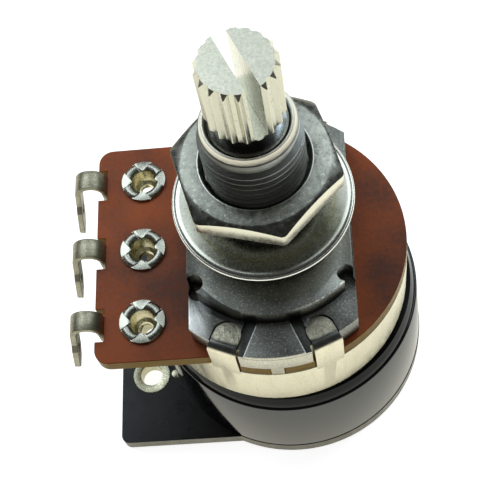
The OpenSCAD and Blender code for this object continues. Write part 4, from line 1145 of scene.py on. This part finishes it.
def moulding_finish():
    """Black moulded plastic: glossy, with a faint flow grain, dust specks and fine scuffs."""
    f = Finish("black_plastic", 0.0, 0.14)
    shine = f.levels(f.along("Z"), cover_low_z - 0.03, cover_low_z + 0.03, 0.66, 0.09)
    f.feed(f.shader.inputs["Specular IOR Level"], shine)
    tint = colour("moulding")
    grain = f.noise(0.5, 3, 0.6)
    scuffs = f.noise(0.35, 4, 0.7, stretch=(1, 1, 0.15))
    base = f.mix(f.levels(grain, 0.3, 0.7), shade_of(tint, 0.75), shade_of(tint, 1.4))
    base = f.mix(f.levels(f.noise(0.14, 2, 0.5), 0.73, 0.78, 0, 0.4), base, (0.2, 0.2, 0.18, 1))
    f.raise_by(grain, 0.004, 0.2)
    return f.dress(base, f.levels(scuffs, 0.5, 0.75, 0.1, 0.22))


def board_finish():
    """Circuit board: black lacquer over faint tracks, tan glass laminate on the cut edge."""
    f = Finish("board_laminate", 0.0, 0.3, 0.3)
    tint, edge = colour("mask"), colour("laminate")
    mottle = f.noise(0.9, 4, 0.6)
    base = f.mix(f.levels(mottle, 0.35, 0.68), shade_of(tint, 0.75), shade_of(tint, 1.35))
    weave = f.times(f.noise(0.25, 1, 0.5, stretch=(0.2, 1, 1)), f.noise(0.25, 1, 0.5, stretch=(1, 0.2, 1)))
    fibres = f.rings(f.along("Z"), 0.16, 3)
    cut_edge = f.mix(f.levels(fibres, 0.38, 0.62), shade_of(edge, 0.55), edge)
    wall = f.walls()
    f.raise_by(weave, 0.012, 0.5)
    return f.dress(f.mix(wall, base, cut_edge), f.levels(mottle, 0.35, 0.7, 0.26, 0.42))


def tin_finish(name):
    """Tinned copper or solder: bright and slightly wavy."""
    f = Finish(name, 1.0, 0.28)
    tint = colour("tin")
    waves = f.noise(0.6, 3, 0.6)
    base = f.mix(f.levels(waves, 0.35, 0.68), shade_of(tint, 0.8), shade_of(tint, 1.12))
    f.raise_by(waves, 0.03, 0.5)
    return f.dress(base, f.levels(f.noise(0.2, 3, 0.6), 0.35, 0.7, 0.22, 0.4))


def sheet_finish(name, tint, roughness, grain_mm):
    """Small metal parts inside: rolled or drawn, with a fine grain and slight tarnish."""
    f = Finish(name, 1.0, roughness)
    grain = f.noise(grain_mm, 3, 0.6, stretch=(1, 0.3, 1))
    tarnish = f.noise(grain_mm * 6, 4, 0.6)
    base = f.mix(f.levels(grain, 0.35, 0.68), shade_of(tint, 0.82), shade_of(tint, 1.05))
    base = f.mix(f.levels(tarnish, 0.55, 0.75, 0, 0.35), base, shade_of(tint, 0.55))
    f.raise_by(grain, 0.01, 0.45)
    return f.dress(base, f.levels(grain, 0.35, 0.7, roughness * 0.8, roughness * 1.3))


def plastic_finish(name, tint, roughness):
    """Small moulded parts inside: satin, with a fine spark-eroded grain."""
    f = Finish(name, 0.0, roughness, 0.5)
    grain = f.noise(0.18, 3, 0.6)
    base = f.mix(f.levels(grain, 0.35, 0.68), shade_of(tint, 0.85), shade_of(tint, 1.08))
    base = f.mix(f.levels(f.noise(2.0, 3, 0.6), 0.55, 0.75, 0, 0.3), base, shade_of(tint, 0.8))
    f.raise_by(grain, 0.01, 0.4)
    return f.dress(base, f.levels(grain, 0.35, 0.7, roughness * 0.85, min(1, roughness * 1.25)))


def ink_finish(name, tint, metallic):
    """Printed resistive or silver ink: matt, granular, with squeegee lines."""
    f = Finish(name, metallic, 0.55)
    grain = f.noise(0.08, 3, 0.6)
    lines = f.noise(0.25, 2, 0.5, stretch=(0.1, 1, 1))
    base = f.mix(f.levels(grain, 0.35, 0.68), shade_of(tint, 0.75), shade_of(tint, 1.2))
    base = f.mix(f.levels(lines, 0.5, 0.7, 0, 0.3), base, shade_of(tint, 0.6))
    f.raise_by(grain, 0.008, 0.5)
    return f.dress(base, f.levels(grain, 0.35, 0.7, 0.45, 0.65))


FINISHES = {
    "zinc_casting": casting_finish,
    "nut_metal": nut_finish,
    "washer_metal": lambda: washer_finish("washer_metal"),
    "lock_washer_metal": lambda: washer_finish("lock_washer_metal"),
    "shaft_metal": shaft_finish,
    "can_metal": can_finish,
    "phenolic": phenolic_finish,
    "terminal_metal": terminal_finish,
    "eyelet_metal": eyelet_finish,
    "black_plastic": moulding_finish,
    "board_laminate": board_finish,
    "pad_metal": lambda: tin_finish("pad_metal"),
    "solder": lambda: tin_finish("solder"),
    "clip_metal": lambda: sheet_finish("clip_metal", (0.3, 0.3, 0.3, 1), 0.35, 0.2),
    "rivet_metal": lambda: sheet_finish("rivet_metal", (0.55, 0.55, 0.5, 1), 0.35, 0.3),
    "ball_metal": lambda: sheet_finish("ball_metal", (0.6, 0.6, 0.61, 1), 0.12, 0.5),
    "spring_metal": lambda: sheet_finish("spring_metal", (0.45, 0.45, 0.47, 1), 0.28, 0.1),
    "wiper_metal": lambda: sheet_finish("wiper_metal", (0.62, 0.44, 0.2, 1), 0.3, 0.2),
    "bridge_metal": lambda: sheet_finish("bridge_metal", (0.66, 0.48, 0.22, 1), 0.3, 0.2),
    "contact_metal": lambda: sheet_finish("contact_metal", (0.6, 0.58, 0.52, 1), 0.32, 0.25),
    "rotor_plastic": lambda: plastic_finish("rotor_plastic", (0.025, 0.025, 0.026, 1), 0.4),
    "slider_plastic": lambda: plastic_finish("slider_plastic", (0.72, 0.7, 0.62, 1), 0.45),
    "carbon_ink": lambda: ink_finish("carbon_ink", (0.02, 0.02, 0.022, 1), 0.0),
    "silver_ink": lambda: ink_finish("silver_ink", (0.62, 0.62, 0.6, 1), 0.9),
}


def finish_of(slot):
    """The finish of a material slot, made once."""
    return bpy.data.materials.get(slot + "_finish") or FINISHES[slot]()


# The operators, one for each piece or group of like pieces


class POT_OT_casting(Operator):
    """Models the zinc casting with its threaded bushing"""

    bl_idname = "pot.casting"
    bl_label = "Casting and bushing"

    def execute(self, context):
        finish_piece(model_casting(), "frame", "zinc_casting", finish_of("zinc_casting"), "front_plate")
        return {"FINISHED"}


class POT_OT_hardware(Operator):
    """Models the nut and the flat washer"""

    bl_idname = "pot.hardware"
    bl_label = "Nut and washer"

    def execute(self, context):
        finish_piece(model_nut(), "frame", "nut_metal", finish_of("nut_metal"), "hex_nut", smooth=24)
        washer = finish_of("washer_metal")
        finish_piece(model_washer(), "frame", "washer_metal", washer, "flat_washer", smooth=50)
        return {"FINISHED"}


class POT_OT_shaft(Operator):
    """Models the toothed and slotted shaft"""

    bl_idname = "pot.shaft"
    bl_label = "Shaft"

    def execute(self, context):
        finish_piece(model_shaft(), "shaft", "shaft_metal", finish_of("shaft_metal"), "shaft", smooth=24)
        return {"FINISHED"}


class POT_OT_can(Operator):
    """Models the can and its crimp lugs"""

    bl_idname = "pot.can"
    bl_label = "Can"

    def execute(self, context):
        finish_piece(model_can(), "frame", "can_metal", finish_of("can_metal"), "can")
        return {"FINISHED"}


class POT_OT_terminal_board(Operator):
    """Models the phenolic board, the three eyelets and the three terminals"""

    bl_idname = "pot.terminal_board"
    bl_label = "Terminal board"

    def execute(self, context):
        finish_piece(model_wafer(), "frame", "phenolic", finish_of("phenolic"), "wafer")
        middle = model_eyelet()
        eyelets = [(twin(middle, "eyelet_upper", (0, terminal_pitch, 0)), "eyelet_1"),
                   (twin(middle, "eyelet_lower", (0, -terminal_pitch, 0)), "eyelet_3"), (middle, "eyelet_2")]
        middle.name = "eyelet_middle"
        for piece, node in eyelets:
            finish_piece(piece, "frame", "eyelet_metal", finish_of("eyelet_metal"), node, smooth=40)
        terminals = (("terminal_1", "lug_upper"), ("terminal_2", "lug_middle"), ("terminal_3", "lug_lower"))
        for node, name in terminals:
            terminal = break_edges(copied_solid(node, name), 0.06, 40)
            finish_piece(terminal, "frame", "terminal_metal", finish_of("terminal_metal"), node)
        return {"FINISHED"}


class POT_OT_switch(Operator):
    """Models the switch's cover and housing"""

    bl_idname = "pot.switch"
    bl_label = "Switch body"

    def execute(self, context):
        finish_piece(model_cover(), "frame", "black_plastic", finish_of("black_plastic"), "switch_cover")
        finish_piece(model_housing(), "frame", "black_plastic", finish_of("black_plastic"), "switch_housing")
        return {"FINISHED"}


class POT_OT_circuit_board(Operator):
    """Models the circuit board with its wire pads and vias"""

    bl_idname = "pot.circuit_board"
    bl_label = "Circuit board"

    def execute(self, context):
        finish_piece(model_board(), "frame", "board_laminate", finish_of("board_laminate"), "circuit_board")
        finish_piece(model_pads(), "frame", "pad_metal", finish_of("pad_metal"), "board_pads")
        return {"FINISHED"}


class POT_OT_inner_finishes(Operator):
    """Dresses the CAD pieces that stay: lock washer, clips, rotor, wiper, tracks, switch works and solder"""

    bl_idname = "pot.inner_finishes"
    bl_label = "Inner pieces"

    def execute(self, context):
        slots = {part["node"]: part["material_slot"] for part in frame["record"]["subparts"]}
        for name, node in frame["nodes"].items():
            if not node.hide_render:
                node.data.materials.clear()
                node.data.materials.append(finish_of(slots[name]))
        return {"FINISHED"}


class POT_OT_stage(Operator):
    """Sets up the floor, the soft studio light and the camera"""

    bl_idname = "pot.stage"
    bl_label = "Stage"

    def execute(self, context):
        set_world()
        lay_floor()
        place_lamps()
        place_camera()
        context.scene.view_settings.view_transform = "Standard"
        return {"FINISHED"}


CAMERA_TURN = 10.68
CAMERA_HEIGHT = 64.20
CAMERA_ROLL = -13.83
CAMERA_AWAY = 93.91
CAMERA_ASIDE = (-1.10, -4.04)
FOCAL_PIXELS = 1150.77
FRAME_PIXELS = 500
SENSOR = 36


def towards(turn, height):
    """Direction at a turn from the front to the right and a height above the floor, both in degrees."""
    a, e = math.radians(turn), math.radians(height)
    return Vector((math.sin(a) * math.cos(e), -math.cos(a) * math.cos(e), math.sin(e)))


def place_camera():
    """The camera at the photograph's viewing angle."""
    back = towards(CAMERA_TURN, CAMERA_HEIGHT)
    right = (-back).cross(Vector((0, 0, 1))).normalized()
    up = right.cross(-back)
    roll = math.radians(CAMERA_ROLL)
    across = math.cos(roll) * right + math.sin(roll) * up
    upright = -math.sin(roll) * right + math.cos(roll) * up
    at = back * CAMERA_AWAY + across * CAMERA_ASIDE[0] + upright * CAMERA_ASIDE[1]
    deselect()
    bpy.ops.object.camera_add(location=at * MM)
    camera = bpy.context.object
    camera.name = "camera"
    rows = (across, upright, back)
    camera.rotation_euler = Matrix([[row[i] for row in rows] for i in range(3)]).to_euler()
    camera.data.sensor_width = SENSOR
    camera.data.lens = FOCAL_PIXELS * SENSOR / FRAME_PIXELS
    camera.data.clip_start = 0.001
    bpy.context.scene.camera = camera


SURROUND = 0.08
FLOOR_SIZE = 1.2
FLOOR_GAP = 0.0001
FLOOR_COLOUR = (0.86, 0.86, 0.85, 1)
FLOOR_GLOW = 0.9
GLOW_SEEN = (1, 1, 1, 1)
GLOW_REFLECTED = (1, 0.97, 0.83, 1)


def set_world():
    """A plain grey surround that the camera sees as white."""
    world = bpy.data.worlds.new("surround")
    bpy.context.scene.world = world
    world.use_nodes = True
    tree = world.node_tree
    background = tree.nodes["Background"]
    background.inputs["Color"].default_value = (1, 1, 1, 1)
    path = tree.nodes.new("ShaderNodeLightPath")
    level = tree.nodes.new("ShaderNodeMapRange")
    tree.links.new(path.outputs["Is Camera Ray"], level.inputs["Value"])
    level.inputs["To Min"].default_value = SURROUND
    level.inputs["To Max"].default_value = 1
    tree.links.new(level.outputs[0], background.inputs["Strength"])


def lay_floor():
    """A white floor just under the solder joints, which keeps a faint shadow."""
    deselect()
    floor_z = low("solder_joints", 2) * MM - FLOOR_GAP
    bpy.ops.mesh.primitive_plane_add(size=FLOOR_SIZE, location=(0, 0, floor_z))
    floor = bpy.context.object
    floor.name = "floor"
    paper = bpy.data.materials.new("white_paper")
    paper.use_nodes = True
    tree = paper.node_tree
    shader = tree.nodes["Principled BSDF"]
    shader.inputs["Base Color"].default_value = FLOOR_COLOUR
    shader.inputs["Roughness"].default_value = 0.9
    shader.inputs["Specular IOR Level"].default_value = 0.1
    path = tree.nodes.new("ShaderNodeLightPath")
    seen = tree.nodes.new("ShaderNodeMath")
    seen.operation = "MAXIMUM"
    tree.links.new(path.outputs["Is Camera Ray"], seen.inputs[0])
    tree.links.new(path.outputs["Is Glossy Ray"], seen.inputs[1])
    glow = tree.nodes.new("ShaderNodeMapRange")
    tree.links.new(seen.outputs[0], glow.inputs["Value"])
    glow.inputs["To Max"].default_value = FLOOR_GLOW
    warmth = tree.nodes.new("ShaderNodeMix")
    warmth.data_type = "RGBA"
    tree.links.new(path.outputs["Is Camera Ray"], warmth.inputs["Factor"])
    warmth.inputs[6].default_value = GLOW_REFLECTED
    warmth.inputs[7].default_value = GLOW_SEEN
    tree.links.new(warmth.outputs[2], shader.inputs["Emission Color"])
    tree.links.new(glow.outputs[0], shader.inputs["Emission Strength"])
    floor.data.materials.append(paper)


LAMPS = (
    ("back_lamp", -169, 62, 0.30, 0.26, 0.205),
    ("left_lamp", -128, 46, 0.30, 0.20, 0.32),
    ("right_lamp", 137, 44, 0.30, 0.19, 0.30),
)
LAMP_COLOUR = (0.82, 0.92, 1.0)


def place_lamps():
    """Large soft lamps around the object: name, turn, height, distance, width and power."""
    for name, turn, height, distance, width, power in LAMPS:
        direction = towards(turn, height)
        deselect()
        bpy.ops.object.light_add(type="AREA", location=direction * distance)
        lamp = bpy.context.object
        lamp.name = name
        lamp.data.shape = "SQUARE"
        lamp.data.size = width
        lamp.data.energy = power
        lamp.data.color = LAMP_COLOUR
        lamp.rotation_euler = direction.to_track_quat("Z", "Y").to_euler()


class POT_PT_panel(Panel):
    """Lists the pieces and their sizes and colours"""

    bl_idname = "POT_PT_panel"
    bl_label = "Potentiometer"
    bl_space_type = "VIEW_3D"
    bl_region_type = "UI"
    bl_category = "Potentiometer"

    def draw(self, context):
        for operator in OPERATORS:
            self.layout.operator(operator.bl_idname)
        for group in (context.scene.pot_sizes, context.scene.pot_colours):
            box = self.layout.box()
            for name in group.__annotations__:
                box.prop(group, name)


OPERATORS = (
    POT_OT_casting,
    POT_OT_hardware,
    POT_OT_shaft,
    POT_OT_can,
    POT_OT_terminal_board,
    POT_OT_switch,
    POT_OT_circuit_board,
    POT_OT_inner_finishes,
    POT_OT_stage,
)
CLASSES = (POT_PG_sizes, POT_PG_colours, *OPERATORS, POT_PT_panel)


def register():
    for cls in CLASSES:
        bpy.utils.register_class(cls)
    bpy.types.Scene.pot_sizes = PointerProperty(type=POT_PG_sizes)
    bpy.types.Scene.pot_colours = PointerProperty(type=POT_PG_colours)


def unregister():
    del bpy.types.Scene.pot_colours
    del bpy.types.Scene.pot_sizes
    for cls in reversed(CLASSES):
        bpy.utils.unregister_class(cls)


def main():
    register()
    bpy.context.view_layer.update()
    for operator in (bpy.ops.pot.casting, bpy.ops.pot.hardware, bpy.ops.pot.shaft, bpy.ops.pot.can,
                     bpy.ops.pot.terminal_board, bpy.ops.pot.switch, bpy.ops.pot.circuit_board,
                     bpy.ops.pot.inner_finishes, bpy.ops.pot.stage):
        operator()


if __name__ == "__main__":
    main()
